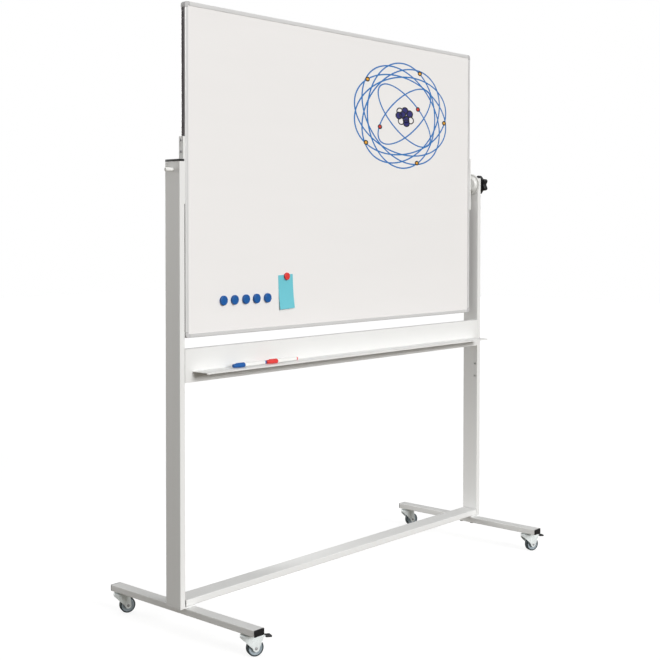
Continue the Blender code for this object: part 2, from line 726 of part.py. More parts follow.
def caster_fork(name, leg_top, braked):
    """A pressed fork: a shell of the plan, trimmed to the side outline and drilled."""
    bottom = AXLE_HEIGHT - LEG_END_RADIUS - CUT_OVER
    middle = (FORK_TOP + bottom) / 2
    back = CASTER_TRAIL + leg_top + CUT_OVER
    fork = prism(name, [fork_plan(CROWN_RADIUS, LEG_OUTSIDE, back)], FORK_TOP - bottom)
    hollow_plan = fork_plan(CROWN_RADIUS - FORK_SHEET, LEG_INSIDE, back + CUT_OVER)
    hollow = prism("hollow", [hollow_plan], FORK_TOP - bottom)
    combine(fork, hollow, "DIFFERENCE", (0, 0, -FORK_SHEET))
    trim = prism("trim", [fork_side(leg_top)], 4 * CROWN_RADIUS)
    combine(fork, trim, "INTERSECT", (0, 0, -middle), ALONG_Y)
    drill(fork, STEM_RADIUS + RUN, CUT_OVER, (0, 0, FORK_TOP - middle))
    across = 4 * LEG_OUTSIDE
    drill(fork, AXLE_RADIUS + GAP, across, (CASTER_TRAIL, 0, AXLE_HEIGHT - middle), ALONG_Y)
    if braked:
        pin_place = (CASTER_TRAIL + LEVER_PIN_AHEAD, 0, LEVER_PIN_HEIGHT - middle)
        drill(fork, LEVER_PIN_RADIUS + RUN, across, pin_place, ALONG_Y)
    return fork, middle


def mirrored_profile(half):
    """A turned profile that is the same on both sides: the half from its bore out to its rim."""
    return half + [(radius, -height) for radius, height in reversed(half)]


def wheel_core(name):
    """A moulded core: hub, dished web with a raised ring, and the land under the tyre."""
    rim = WHEEL_RADIUS - TYRE_THICKNESS - GAP
    web = WEB_THICKNESS / 2
    half = [
        (AXLE_RADIUS + RUN, HUB_WIDTH / 2),
        (HUB_RADIUS, HUB_WIDTH / 2),
        (HUB_RADIUS, web),
        (RING_RADIUS, web),
        (RING_RADIUS, web + RING_HEIGHT),
        (rim - RIM_LAND, web + RING_HEIGHT),
        (rim - RIM_LAND, TYRE_WIDTH / 2 - RING_HEIGHT),
        (rim, TYRE_WIDTH / 2 - RING_HEIGHT),
    ]
    return turned(name, mirrored_profile(half), CORE_STEPS, bored=True)


def tyre(name):
    inner = WHEEL_RADIUS - TYRE_THICKNESS
    side = TYRE_WIDTH / 2
    corner = (WHEEL_RADIUS - TYRE_SHOULDER, side - TYRE_SHOULDER)
    half = [(inner, side)] + arc(corner, TYRE_SHOULDER, 90, 0, ARC_STEPS - 1)
    return turned(name, mirrored_profile(half), TYRE_STEPS, bored=True)


def axle(name):
    """A pin through the fork's legs, with a head on each side."""
    outside = LEG_OUTSIDE + GAP
    half = [
        (0, outside + AXLE_HEAD),
        (AXLE_HEAD_RADIUS - AXLE_HEAD / 2, outside + AXLE_HEAD),
        (AXLE_HEAD_RADIUS, outside + AXLE_HEAD / 2),
        (AXLE_HEAD_RADIUS, outside),
        (AXLE_RADIUS, outside),
    ]
    return turned(name, mirrored_profile(half), HOLE_STEPS)


def brake_lever(name):
    """A bent strip on its pin, with the shoe that is pressed on the tyre."""
    path = [
        (0, 0),
        (LEVER_RISE_RUN, LEVER_RISE),
        (LEVER_FLAT_END, LEVER_RISE),
        (LEVER_BEND_END, -LEVER_DROP),
        (LEVER_REACH, -LEVER_SAG),
    ]
    lever = prism(name, [strip(path, LEVER_SHEET)], LEVER_WIDTH)
    pin = rod("pin", LEVER_PIN_RADIUS, 2 * (LEG_OUTSIDE + LEVER_PIN_PROUD))
    combine(lever, pin, "UNION")
    shoe_path = [(SHOE_OUT, LEVER_RISE), (SHOE_OUT, -SHOE_DOWN)]
    shoe = prism("shoe", [strip(shoe_path, LEVER_SHEET)], LEVER_WIDTH - LEVER_SHEET)
    combine(lever, shoe, "UNION")
    return lever


def brake_pad(name):
    """A moulded pad over the end of the lever, in the lever's own frame."""
    slope = math.atan2(LEVER_DROP - LEVER_SAG, LEVER_REACH - LEVER_BEND_END)
    length = math.hypot(LEVER_DROP - LEVER_SAG, LEVER_REACH - LEVER_BEND_END) + GAP
    pad = block(name, length, PAD_THICKNESS, PAD_WIDTH)
    bevel(pad, PAD_EDGE)
    slot_width = LEVER_WIDTH + 2 * GAP
    slot = block("slot", length, LEVER_SHEET + 2 * GAP, slot_width)
    combine(pad, slot, "DIFFERENCE", (-PAD_WALL, 0, 0))
    middle = (LEVER_BEND_END + LEVER_REACH) / 2 + PAD_WALL
    height = -(LEVER_DROP + LEVER_SAG) / 2 + PAD_WALL * math.tan(slope)
    return pad, Matrix.Translation((middle, height, 0)) @ Matrix.Rotation(slope, 4, "Z")


def build_caster(side, sign, end_name):
    """One swivel caster under a foot: the stem stays, the fork swivels and the wheel spins."""
    label = f"{side}_{end_name}"
    braked = end_name == "front"
    swivel_place = (sign * FOOT_MID, CASTER_Y[end_name], 0)
    add(caster_stem("caster_stem_" + label), "zinc_steel", swivel_place)
    swivel = axis_empty("swivel_axis_" + label, swivel_place, Matrix.Rotation(CASTER_ANGLE, 4, "Z"))
    leg_top = BRAKED_LEG_TOP if braked else PLAIN_LEG_TOP
    fork, fork_middle = caster_fork("caster_fork_" + label, leg_top, braked)
    add(fork, "zinc_steel", (0, 0, fork_middle), UPRIGHT, swivel)
    spin = axis_empty("wheel_axis_" + label, (CASTER_TRAIL, 0, AXLE_HEIGHT), ABOUT_Y, swivel)
    add(axle("wheel_axle_" + label), "zinc_steel", parent=spin)
    add(wheel_core("wheel_core_" + label), "wheel_plastic", parent=spin)
    add(tyre("tyre_" + label), "tyre_rubber", parent=spin)
    if braked:
        pin_place = (CASTER_TRAIL + LEVER_PIN_AHEAD, 0, LEVER_PIN_HEIGHT)
        pedal = axis_empty("pedal_axis_" + label, pin_place, ALONG_Y, swivel)
        add(brake_lever("brake_lever_" + label), "zinc_steel", parent=pedal)
        pad, pad_place = brake_pad("brake_pad_" + label)
        add(pad, "black_plastic", pad_place.translation, pad_place.to_3x3().to_4x4(), pedal)


def main():
    for side, sign in SIDES.items():
        build_foot(side, sign * FOOT_MID)
        build_base_plate(side, sign)
        build_foot_bolts(side, sign * FOOT_MID)
        build_upright(side, sign)
        for end_name in ENDS:
            build_caster(side, sign, end_name)
    build_crossbar()
    build_tray_panel()
    build_tray_shelf()
    tilt_axis = axis_empty("tilt_axis", (0, 0, TILT_HEIGHT))
    build_frame(tilt_axis)
    build_board(tilt_axis)
    build_pivots(tilt_axis)
    build_knob()


clear_scene()
PARTS = new_collection("rolling_whiteboard")
CUTTERS = new_collection("cutters")
MATERIALS = {name: new_finish(name) for name in FINISHES}
main()
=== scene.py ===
import json
import math

import bmesh
import bpy
from bpy.props import FloatProperty, FloatVectorProperty, PointerProperty
from mathutils import Matrix, Vector


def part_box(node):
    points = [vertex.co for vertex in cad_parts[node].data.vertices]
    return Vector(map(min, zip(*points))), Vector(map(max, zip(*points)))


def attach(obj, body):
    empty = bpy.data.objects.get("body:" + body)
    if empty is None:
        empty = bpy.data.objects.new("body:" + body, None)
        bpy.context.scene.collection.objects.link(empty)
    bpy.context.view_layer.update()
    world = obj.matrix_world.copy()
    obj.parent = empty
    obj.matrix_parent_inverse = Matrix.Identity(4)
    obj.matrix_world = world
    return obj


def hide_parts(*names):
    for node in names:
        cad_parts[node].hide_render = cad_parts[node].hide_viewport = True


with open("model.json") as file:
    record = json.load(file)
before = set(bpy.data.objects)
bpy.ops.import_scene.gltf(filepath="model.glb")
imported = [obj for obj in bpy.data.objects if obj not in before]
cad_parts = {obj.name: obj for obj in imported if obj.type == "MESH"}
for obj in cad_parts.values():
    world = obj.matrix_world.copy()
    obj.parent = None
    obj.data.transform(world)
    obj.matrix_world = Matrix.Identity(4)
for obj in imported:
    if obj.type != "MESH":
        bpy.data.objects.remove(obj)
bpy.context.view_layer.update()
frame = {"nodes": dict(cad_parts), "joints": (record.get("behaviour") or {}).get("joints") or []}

bl_info = {
    "name": "Rolling Whiteboard",
    "version": (1, 0, 0),
    "blender": (4, 5, 0),
    "location": "View3D > Sidebar > Whiteboard",
    "description": "Gives the packed rolling whiteboard its finishes, fittings and studio",
    "category": "Object",
}

NODES = frame["nodes"]
JOINTS = {joint["name"]: joint for joint in frame["joints"]}
SIDES = {"left": -1, "right": 1}
ENDS = {"front": -1, "rear": 1}
CASTERS = [(side, end) for side in SIDES for end in ENDS]

SEAM = 0.0003  # between pieces that touch
MERGE = 1e-6  # between points that count as one
RIM_ANGLE = math.radians(60)  # edges over this are rims to round
SMOOTH_ANGLE = math.radians(38)  # edges under this are shaded smooth

# Stand, in metres
TUBE_RADIUS = 0.0025
CAP_EDGE = 0.001
PLUG_PLAY = 0.0046
FOOT_CAP = 0.003

# Tilt fittings, in metres
PIN_RADIUS = 0.006
PIN_TIP = 0.003
PIN_EDGE = 0.0008
DISC_FLANGE = 0.005
DISC_BOSS_RADIUS = 0.026
DISC_BOSS_EDGE = 0.002
DISC_BOSS_FLARE = 0.007
KNOB_RADIUS = 0.0365
KNOB_VALLEY = 0.0274
KNOB_LOBES = 6
KNOB_EDGE = 0.004
KNOB_HUB = 0.026
KNOB_HUB_RADIUS = 0.015
KNOB_HUB_EDGE = 0.0015
KNOB_HUB_FLARE = 0.004
BAR_SCREWS = (0.055, 0.089)
FRAME_SCREWS = (0.028, 0.050)
BAR_SCREW = (0.0042, 0.0022)  # radius and height of the head
FRAME_SCREW = (0.0022, 0.0009)
FRAME_GROOVE = 0.001
# Painted shade: a dark band along the frame's side stands for the shadow in its groove; these give its
# half width and its tone.
FRAME_GROOVE_SHADE = 0.0071  # half the width of the dark band round the frame's edge
GROOVE_SHADE_TONE = (0.13, 0.12, 0.125)

# Casters, in metres
TYRE_SIDE = 0.009
TYRE_INNER = 0.0208
TYRE_SHOULDER = 0.0035
TYRE_BEAD = (0.0005, 0.0006)  # chamfer against the core
CORE_RIM = 0.0205
RIM_LAND = 0.003
RIM_SIDE = 0.0076
RING_RADIUS = 0.0135
RING_HEIGHT = 0.0014
WEB_SIDE = 0.0045
HUB_SIDE = 0.011
HUB_RADIUS = 0.008
HUB_EDGE = 0.001
HUB_FILLET = 0.0012
RING_FILLET = 0.0005
RIM_EDGE = 0.0006
AXLE_RADIUS = 0.003
AXLE_HEAD = 0.002
AXLE_HEAD_RADIUS = 0.0045
CROWN_RADIUS = 0.020
CROWN_EDGE = 0.003
LEG_OUTSIDE = 0.0135
LEG_END_RADIUS = 0.010
LEG_TOP = {"front": 0.023, "rear": 0.0065}
FORK_TOP = 0.066
FORK_SHEET = 0.002
SKIRT_HEIGHT = 0.009
STEM_RADIUS = 0.005
STEM_HOLE = 0.0054
RACE_RADIUS = 0.015
RIVET_RADIUS = 0.008

# Brakes, in metres and in the lever's own plane
LEVER_PATH = [(0, 0), (0.007, 0.0045), (0.016, 0.0045), (0.028, -0.0015), (0.047, -0.003)]
LEVER_SHEET = 0.002
LEVER_WIDTH = 0.014
LEVER_PIN_RADIUS = 0.0022
PIN_PROUD = 0.001
SHOE_OUT = 0.009
SHOE_DOWN = 0.0045
PAD_SIZE = (0.0194, 0.006, 0.020)
PAD_MIDDLE = (0.0395, -0.0024)
PAD_EDGE = 0.002
PAD_RIBS = 4
PAD_RIB = 0.0008
PAD_RIB_SHARE = 0.7  # of the pad's width

# What is on the board and the shelf, in metres along X and Z
MAGNET_ROW = (-0.594, -0.546, -0.496, -0.448, -0.398)
MAGNET_HEIGHT = 0.997
NOTE_MIDDLE = (-0.308, 1.013)
NOTE_MAGNET = (-0.3065, 1.063)
NOTE_TURN = math.radians(2.5)
NOTE_LIFT = 0.010
PAPER = 0.0003
MARKERS = (("blue", -0.609), ("red", -0.463))
MARKER_Y = -0.068
MARKER_CAP_RADIUS = 0.0072
MARKER_RADIUS = 0.0063
MARKER_CAP = 0.33  # share of the marker's length under the cap
MARKER_TAIL = 0.955  # share of its length where the tail plug starts
MARKER_EDGE = 0.0012
MARKER_TAPER = (0.0015, 0.0008)  # how far the cap draws in at its end and at a quarter
MARKER_SEAM = 0.0002
CLIP_SIZE = (0.0034, 0.0016)
CLIP_EDGE = 0.0006

# The drawing, in shares of its half width and half height
DRAWING_MIDDLE = (0.3146, 1.626)
OUTER_ORBIT = (0.99, 0.715)
OUTER_TURNS = range(90, 270, 36)  # degrees
INNER_TURNS = (45, 135)
INNER_ORBIT = (0.725, 0.317)
INNER_MIDDLE = (0.06, 0)
INNER_DOTS = ((0.279, 0.158), (-0.523, -0.248))
OUTER_DOTS = (66, 140, 217, 290, 357)  # degrees round the outer orbits
OUTER_DOTS_RADIUS = 0.93
DOT = 0.034
NUCLEUS_OPEN = ((-0.11, 0.08), (-0.08, -0.10), (0.12, -0.07))
NUCLEUS_FILLED = ((0, 0.10), (0.10, 0.05), (-0.13, 0), (-0.05, 0.02), (0.02, -0.06), (0.03, -0.13))
INK_WIDTH = 0.026
OUTLINE = 0.021
NUCLEON = 0.062
INK_DEPTH = 0.0001

# Studio
CAMERA_PLACE = (-3.114, -2.585, 1.215)
CAMERA_TURN = (88.5, 0.0, -47.15)
CAMERA_SHIFT = (0.0758, -0.1058)
KEY_FROM = (-0.06, -0.935, 0.35)
FILL_FROM = (-0.21, 0.973, 0.10)
KEY_SPREAD = math.radians(24)
FILL_SPREAD = math.radians(30)
PANEL_PLACE = (-0.5, 0.3, 0.2)
PANEL_FROM = (-0.906, 0.404, 0.125)
PANEL_SIZE = 0.3
PANEL_SPREAD = math.radians(75)
SKY_TINT = (1.0, 1.0, 0.99)
GROUND_TINT = (1.0, 0.90, 0.74)
WHITE = (1.0, 1.0, 1.0)
FLOOR_SIZE = 30.0
FLOOR_COLOUR = (0.24, 0.24, 0.24)


class Wire:
    """A shader socket in Python sums: each operator adds one Math node."""

    def __init__(self, graph, socket):
        self.graph = graph
        self.socket = socket

    def maths(self, operation, first, second):
        return self.graph.node("ShaderNodeMath", {"operation": operation}, {0: first, 1: second})

    def __add__(self, other):
        return self.maths("ADD", self, other)

    __radd__ = __add__

    def __mul__(self, other):
        return self.maths("MULTIPLY", self, other)

    __rmul__ = __mul__

    def __pow__(self, other):
        return self.maths("POWER", self, other)


class Graph:
    """A node tree in the making."""

    def __init__(self, tree):
        self.tree = tree

    def feed(self, socket, value):
        if isinstance(value, Wire):
            self.tree.links.new(value.socket, socket)
        else:
            socket.default_value = value

    def node(self, kind, settings=None, sockets=None, output=0):
        """Adds a node: its settings first, then the values or links of its sockets."""
        made = self.tree.nodes.new(kind)
        for key, value in (settings or {}).items():
            setattr(made, key, value)
        for key, value in (sockets or {}).items():
            self.feed(made.inputs[key], value)
        return Wire(self, made.outputs[output])

    def blend(self, factor, first, second):
        """A colour between two."""
        ends = [end if isinstance(end, Wire) else (*end, 1.0) for end in (first, second)]
        sockets = {0: factor, 6: ends[0], 7: ends[1]}
        return self.node("ShaderNodeMix", {"data_type": "RGBA"}, sockets, output=2)


class Finish(Graph):
    """A Principled material on the piece's own coordinates."""

    def __init__(self, name, metallic=0.0, coat=0.0):
        self.material = bpy.data.materials.new(name)
        self.material.use_nodes = True
        super().__init__(self.material.node_tree)
        self.inputs = self.tree.nodes["Principled BSDF"].inputs
        self.inputs["Metallic"].default_value = metallic
        self.inputs["Coat Weight"].default_value = coat
        self.inputs["Coat Roughness"].default_value = 0.08

    def place(self):
        return self.node("ShaderNodeTexCoord", output=3)

    def noise(self, scale, detail=2.0, stretch=(1.0, 1.0, 1.0)):
        """Noise from 0 to 1, finer along the axes with the larger stretch."""
        spread = self.node(
            "ShaderNodeVectorMath", {"operation": "MULTIPLY"}, {0: self.place(), 1: stretch}
        )
        sockets = {"Vector": spread, "Scale": scale, "Detail": detail}
        return self.node("ShaderNodeTexNoise", sockets=sockets)

    def cells(self, scale):
        """One random value for each cell of a pattern."""
        sockets = {"Vector": self.place(), "Scale": scale}
        colour = self.node("ShaderNodeTexVoronoi", sockets=sockets, output=1)
        return self.node("ShaderNodeSeparateColor", sockets={0: colour})

    def colour(self, factor, colour, dark, light):
        """Base colour between a darker and a lighter tone of one colour."""
        tones = [tuple(min(part * tone, 1.0) for part in colour) for tone in (dark, light)]
        tone = self.blend(factor, *tones)
        self.feed(self.inputs["Base Color"], tone)
        return tone

    def rough(self, value):
        self.feed(self.inputs["Roughness"], value)

    def relief(self, height, depth, strength):
        sockets = {"Strength": strength, "Distance": depth, "Height": height}
        self.feed(self.inputs["Normal"], self.node("ShaderNodeBump", sockets=sockets))


def powder_coat(name, colour):
    """Baked powder coat: an even tone with a fine orange peel."""
    finish = Finish(name)
    peel = finish.noise(520.0, 1.0)
    finish.colour(finish.noise(4.0, 3.0), colour, 0.97, 1.02)
    finish.rough(0.36 + 0.16 * peel)
    finish.relief(peel, 0.00025, 0.3)
    return finish.material


def enamel(name, colour):
    """Vitreous enamel with the faint streaks that wiping leaves."""
    finish = Finish(name, coat=0.25)
    wipes = finish.noise(3.0, 5.0, (0.6, 1.0, 4.0))
    finish.colour(wipes, colour, 0.98, 1.01)
    finish.rough(0.20 + 0.10 * wipes)
    finish.relief(finish.noise(60.0), 0.0001, 0.1)
    return finish.material


def drawn_metal(name, colour, along):
    """Extruded frame metal with draw lines along its length, and painted shade of its groove as a dark
    band round its edge.
    """
    finish = Finish(name, metallic=0.35)
    stretch = [900.0 if axis != along else 6.0 for axis in "XYZ"]
    lines = finish.noise(1.0, 3.0, stretch)
    metal = finish.colour(lines * 0.7 + finish.noise(7.0) * 0.3, colour, 0.93, 1.05)
    # Painted shade: the base colour goes dark in a band along the middle of the frame's side, where
    # its groove lies in shadow.
    depth = finish.node("ShaderNodeSeparateXYZ", sockets={0: finish.place()}, output=1)
    groove_shade = {0: depth * depth, 1: FRAME_GROOVE_SHADE**2}
    edge = finish.node("ShaderNodeMath", {"operation": "LESS_THAN"}, groove_shade)
    finish.feed(finish.inputs["Base Color"], finish.blend(edge, metal, GROOVE_SHADE_TONE))
    finish.rough(0.28 + 0.18 * lines)
    finish.relief(lines, 0.00005, 0.3)
    return finish.material


def drawn_along_x(name, colour):
    return drawn_metal(name, colour, "X")


def drawn_along_z(name, colour):
    return drawn_metal(name, colour, "Z")


def moulded(name, colour):
    """Moulded plastic with a fine grain and slight flow marks."""
    finish = Finish(name)
    grain = finish.noise(900.0)
    finish.colour(finish.noise(18.0, 3.0), colour, 0.9, 1.08)
    finish.rough(0.34 + 0.16 * grain)
    finish.relief(grain, 0.00012, 0.3)
    return finish.material


def zinc_plate(name, colour):
    """Bright zinc plate: pale cells and a fine grain."""
    finish = Finish(name, metallic=0.15)
    cell = finish.cells(420.0)
    grain = finish.noise(1500.0)
    finish.colour(cell * 0.45 + finish.noise(40.0, 3.0) * 0.55, colour, 0.88, 1.08)
    finish.rough(0.22 + 0.12 * cell + 0.10 * grain)
    finish.relief(grain, 0.00004, 0.3)
    return finish.material


def tyre_rubber(name, colour):
    """Soft rubber: matt, with a fine grain and a little dust."""
    finish = Finish(name)
    grain = finish.noise(1100.0, 3.0)
    finish.colour(finish.noise(90.0, 4.0) ** 2.0, colour, 0.85, 1.6)
    finish.rough(0.58 + 0.22 * grain)
    finish.relief(grain, 0.0002, 0.4)
    return finish.material


def paper(name, colour):
    """Matt paper with fibres."""
    finish = Finish(name)
    fibre = finish.noise(700.0, 5.0)
    finish.colour(finish.noise(30.0, 3.0), colour, 0.96, 1.03)
    finish.rough(0.78 + 0.14 * fibre)
    finish.relief(fibre, 0.0001, 0.3)
    return finish.material


def dry_ink(name, colour):
    """Dry marker ink, a little streaky."""
    finish = Finish(name)
    streak = finish.noise(260.0, 4.0)
    finish.colour(streak, colour, 0.88, 1.12)
    finish.rough(0.48 + 0.16 * streak)
    return finish.material


RECIPES = {
    "coat": (powder_coat, "coat"),
    "enamel": (enamel, "enamel"),
    "frame_across": (drawn_along_x, "frame"),
    "frame_upright": (drawn_along_z, "frame"),
    "corner": (moulded, "corner"),
    "core": (paper, "core"),
    "black": (moulded, "black"),
    "white": (moulded, "white"),
    "zinc": (zinc_plate, "zinc"),
    "bolt": (zinc_plate, "bolt"),
    "wheel": (moulded, "wheel"),
    "rubber": (tyre_rubber, "rubber"),
    "blue": (moulded, "blue"),
    "red": (moulded, "red"),
    "note": (paper, "note"),
    "ink_blue": (dry_ink, "ink_blue"),
    "ink_dark": (dry_ink, "ink_dark"),
    "ink_violet": (dry_ink, "ink_violet"),
    "ink_orange": (dry_ink, "ink_orange"),
    "ink_red": (dry_ink, "ink_red"),
}


def finish(context, name):
    """The finish of this name in the panel's colour, made on its first use."""
    made = bpy.data.materials.get("whiteboard_" + name)
    if made:
        return made
    recipe, colour = RECIPES[name]
    return recipe("whiteboard_" + name, getattr(context.scene.whiteboard_colours, colour))


def paint(context, nodes, name):
    """Gives CAD nodes their finish."""
    for node in nodes:
        for slot in NODES[node].material_slots:
            slot.material = finish(context, name)


def arc(centre, radius, start, end, steps):
    """Points of an arc with both ends, in degrees."""
    turns = [math.radians(start + (end - start) * step / steps) for step in range(steps + 1)]
    return [
        (centre[0] + radius * math.cos(turn), centre[1] + radius * math.sin(turn)) for turn in turns
    ]


def both_sides(half):
    """A turned profile that is the same on both sides."""
    return half + [(radius, -height) for radius, height in reversed(half)]


def rounded_rectangle(width, height, radius, steps=6):
    x = width / 2 - radius
    y = height / 2 - radius
    corners = [(x, y, 0), (-x, y, 90), (-x, -y, 180), (x, -y, 270)]
    arcs = [arc((cx, cy), radius, start, start + 90, steps) for cx, cy, start in corners]
    return [point for points in arcs for point in points]


def facing(point, towards):
    """A frame at a point, with its local Z along a direction and its local Y upwards."""
    turn = Vector(towards).to_track_quat("Z", "Y").to_matrix().to_4x4()
    return Matrix.Translation(point) @ turn


def loop(form, outline, height=0.0):
    """Adds the edges of a closed outline to a form."""
    verts = [form.verts.new((x, y, height)) for x, y in outline]
    return [form.edges.new(pair) for pair in zip(verts, verts[1:] + verts[:1])]


def raised(form, faces, depth):
    """Extrudes faces of a form along local Z."""
    grown = bmesh.ops.extrude_face_region(form, geom=faces)["geom"]
    far = [item for item in grown if isinstance(item, bmesh.types.BMVert)]
    bmesh.ops.translate(form, vec=(0, 0, depth), verts=far)


def round_edges(form, edges, width, segments):
    bmesh.ops.bevel(
        form,
        geom=edges,
        offset=width,
        offset_type="OFFSET",
        affect="EDGES",
        segments=segments,
        profile=0.5,
        material=-1,
        clamp_overlap=True,
    )


def turned(profile, steps=64, ring=False):
    """A form with a profile of (radius, height) turned about local Z. A ring's profile is closed."""
    form = bmesh.new()
    verts = [form.verts.new((radius, 0.0, height)) for radius, height in profile]
    ends = verts[1:] + verts[:1] if ring else verts[1:]
    edges = [form.edges.new(pair) for pair in zip(verts, ends)]
    bmesh.ops.spin(
        form,
        geom=verts + edges,
        cent=(0, 0, 0),
        axis=(0, 0, 1),
        angle=2 * math.pi,
        steps=steps,
        use_merge=True,
    )
    return form


def block(size, edge, segments=3):
    """A box with rounded edges."""
    form = bmesh.new()
    bmesh.ops.create_cube(form, size=1.0)
    bmesh.ops.scale(form, vec=size, verts=form.verts[:])
    round_edges(form, form.edges[:], edge, segments)
    return form


def slab(outline, depth, edge=0.0, segments=3):
    """An outline extruded along local Z, from 0 to a depth, with rounded rims."""
    form = bmesh.new()
    loop(form, outline)
    raised(form, bmesh.ops.contextual_create(form, geom=form.verts[:])["faces"], depth)
    bmesh.ops.recalc_face_normals(form, faces=form.faces[:])
    if edge:
        sharp = [item for item in form.edges if item.calc_face_angle(0.0) > RIM_ANGLE]
        round_edges(form, sharp, edge, segments)
    return form


class Shape:
    """A piece's mesh, to which closed forms are added."""

    def __init__(self):
        self.mesh = bmesh.new()

    def add(self, form, place):
        """Merges a form's doubles, turns it to face out and adds it at its place."""
        bmesh.ops.remove_doubles(form, verts=form.verts[:], dist=MERGE)
        bmesh.ops.recalc_face_normals(form, faces=form.faces[:])
        bmesh.ops.transform(form, matrix=place, verts=form.verts[:])
        data = bpy.data.meshes.new("form")
        form.to_mesh(data)
        form.free()
        self.mesh.from_mesh(data)
        bpy.data.meshes.remove(data)

    def piece(self, name, material, body, slot=None, stands_for=()):
        """Makes the object, with its finish, and lets it ride on its body."""
        data = bpy.data.meshes.new(name)
        self.mesh.to_mesh(data)
        self.mesh.free()
        data.shade_smooth()
        data.set_sharp_from_angle(angle=SMOOTH_ANGLE)
        data.materials.append(material)
        made = bpy.data.objects.new(name, data)
        bpy.context.scene.collection.objects.link(made)
        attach(made, body)
        if stands_for:
            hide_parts(*stands_for)


def single(form, place, name, *rest):
    """A piece that is one form."""
    shape = Shape()
    shape.add(form, place)
    shape.piece(name, *rest)


def tilt_point():
    return Vector(JOINTS["board_tilt"]["pos_m"])


def front_sheet():
    """The place of the front writing surface along Y."""
    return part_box("writing_sheet_front")[0].y


def caster_frame(side, end):
    """A caster's own frame: X along its trail, Y along its axle, Z up, origin on the floor."""
    swivel = Vector(JOINTS[f"swivel_{side}_{end}"]["pos_m"])
    wheel = JOINTS[f"wheel_spin_{side}_{end}"]
    trail = Vector(wheel["pos_m"]) - swivel
    trail.z = 0.0
    axes = Matrix((trail.normalized(), Vector(wheel["axis"]), (0, 0, 1))).transposed()
    return Matrix.Translation((swivel.x, swivel.y, 0)) @ axes.to_4x4()


def caster_trail(side, end):
    wheel = Vector(JOINTS[f"wheel_spin_{side}_{end}"]["pos_m"])
    local = caster_frame(side, end).inverted() @ wheel
    return local.x, local.z


def strip(path, thickness):
    """The outline of a bent strip along a path, with its bends rounded by cutting corners."""
    for _ in range(3):
        cut = [path[0]]
        for (ax, ay), (bx, by) in zip(path, path[1:]):
            cut += [(ax + (bx - ax) * share, ay + (by - ay) * share) for share in (0.25, 0.75)]
        path = cut + [path[-1]]
    sides = ([], [])
    for before, point, after in zip(path[:1] + path, path, path[1:] + path[-1:]):
        along = Vector((after[0] - before[0], after[1] - before[1])).normalized()
        for side, sign in zip(sides, (-0.5, 0.5)):
            side.append((point[0] - along.y * thickness * sign, point[1] + along.x * thickness * sign))
    return sides[0] + sides[1][::-1]


def screw_head(radius, height):
    """A turned pan head with a driver recess."""
    dome = arc((radius - height * 0.6, height * 0.4), height * 0.6, 0, 90, 5)
    recess = [(radius * 0.45, height), (radius * 0.35, height * 0.35), (0, height * 0.3)]
    return [(0, 0), (radius, 0), *dome, *recess]


def tint(label, description, default):
    """A colour that the panel shows."""
    return FloatVectorProperty(
        name=label, description=description, default=default, size=3, min=0, max=1, subtype="COLOR"
    )


def length(label, description, default):
    """A length that the panel shows."""
    return FloatProperty(name=label, description=description, default=default, min=0, unit="LENGTH")


class WhiteboardColours(bpy.types.PropertyGroup):
    """Colours of the finishes, in linear light"""

    coat: tint("Coat", "Powder coat of the stand", (0.80, 0.80, 0.79))
    enamel: tint("Enamel", "Writing sheets", (0.86, 0.845, 0.838))
    frame: tint("Frame", "Profiles round the board", (0.80, 0.80, 0.80))
    corner: tint("Corner", "Moulded corners of the frame", (0.55, 0.545, 0.55))
    core: tint("Core", "Edge of the board's core", (0.55, 0.44, 0.32))
    black: tint("Black plastic", "Caps, knob and pedals", (0.007, 0.007, 0.009))
    white: tint("White plastic", "Pivot pin and friction disc", (0.84, 0.84, 0.82))
    zinc: tint("Zinc", "Forks, stems and levers", (0.88, 0.94, 0.95))
    bolt: tint("Bolt", "Foot bolts and screws", (0.42, 0.42, 0.43))
    wheel: tint("Wheel", "Cores of the wheels", (0.36, 0.42, 0.46))
    rubber: tint("Rubber", "Tyres", (0.035, 0.05, 0.056))
    blue: tint("Blue", "Large magnets and a marker's cap", (0.002, 0.095, 0.35))
    red: tint("Red", "Small magnet and a marker's cap", (0.74, 0.038, 0.034))
    note: tint("Note", "Paper note", (0.153, 0.55, 0.64))
    ink_blue: tint("Line", "Orbits of the drawing", (0.022, 0.17, 0.48))
    ink_dark: tint("Dark ink", "Outlines of the drawing", (0.008, 0.008, 0.012))
    ink_violet: tint("Nucleus", "Filled nucleus dots of the drawing", (0.022, 0.02, 0.16))
    ink_orange: tint("Orange ink", "Outer dots of the drawing", (0.80, 0.36, 0.02))
    ink_red: tint("Red ink", "Inner dots of the drawing", (0.70, 0.03, 0.02))


class WhiteboardSizes(bpy.types.PropertyGroup):
    """Sizes of what is on the board and its shelf"""

    magnet: length("Magnet", "Diameter of a large magnet", 0.030)
    small_magnet: length("Small magnet", "Diameter of the magnet on the note", 0.024)
    note_width: length("Note width", "Width of the paper note", 0.070)
    note_height: length("Note height", "Height of the paper note", 0.111)
    marker: length("Marker", "Length of a marker with its cap", 0.143)
    drawing_width: length("Drawing width", "Width of the drawing", 0.5644)
    drawing_height: length("Drawing height", "Height of the drawing", 0.382)


class WhiteboardStudio(bpy.types.PropertyGroup):
    """Light and camera of the studio"""

    key: FloatProperty(name="Key", description="Strength of the key light", default=2.4, min=0)
    fill: FloatProperty(name="Fill", description="Strength of the back light", default=1.6, min=0)
    panel: FloatProperty(name="Panel", description="Power of the side light in W", default=0.95, min=0)
    sky: FloatProperty(name="Sky", description="Light from the upper half", default=0.44, min=0)
    ground: FloatProperty(name="Ground", description="Light from the lower half", default=0.18, min=0)
    floor: FloatProperty(name="Floor glow", description="Own light of the floor", default=0.84, min=0)
    lens: FloatProperty(name="Lens", description="Focal length in mm", default=64.05, min=1)


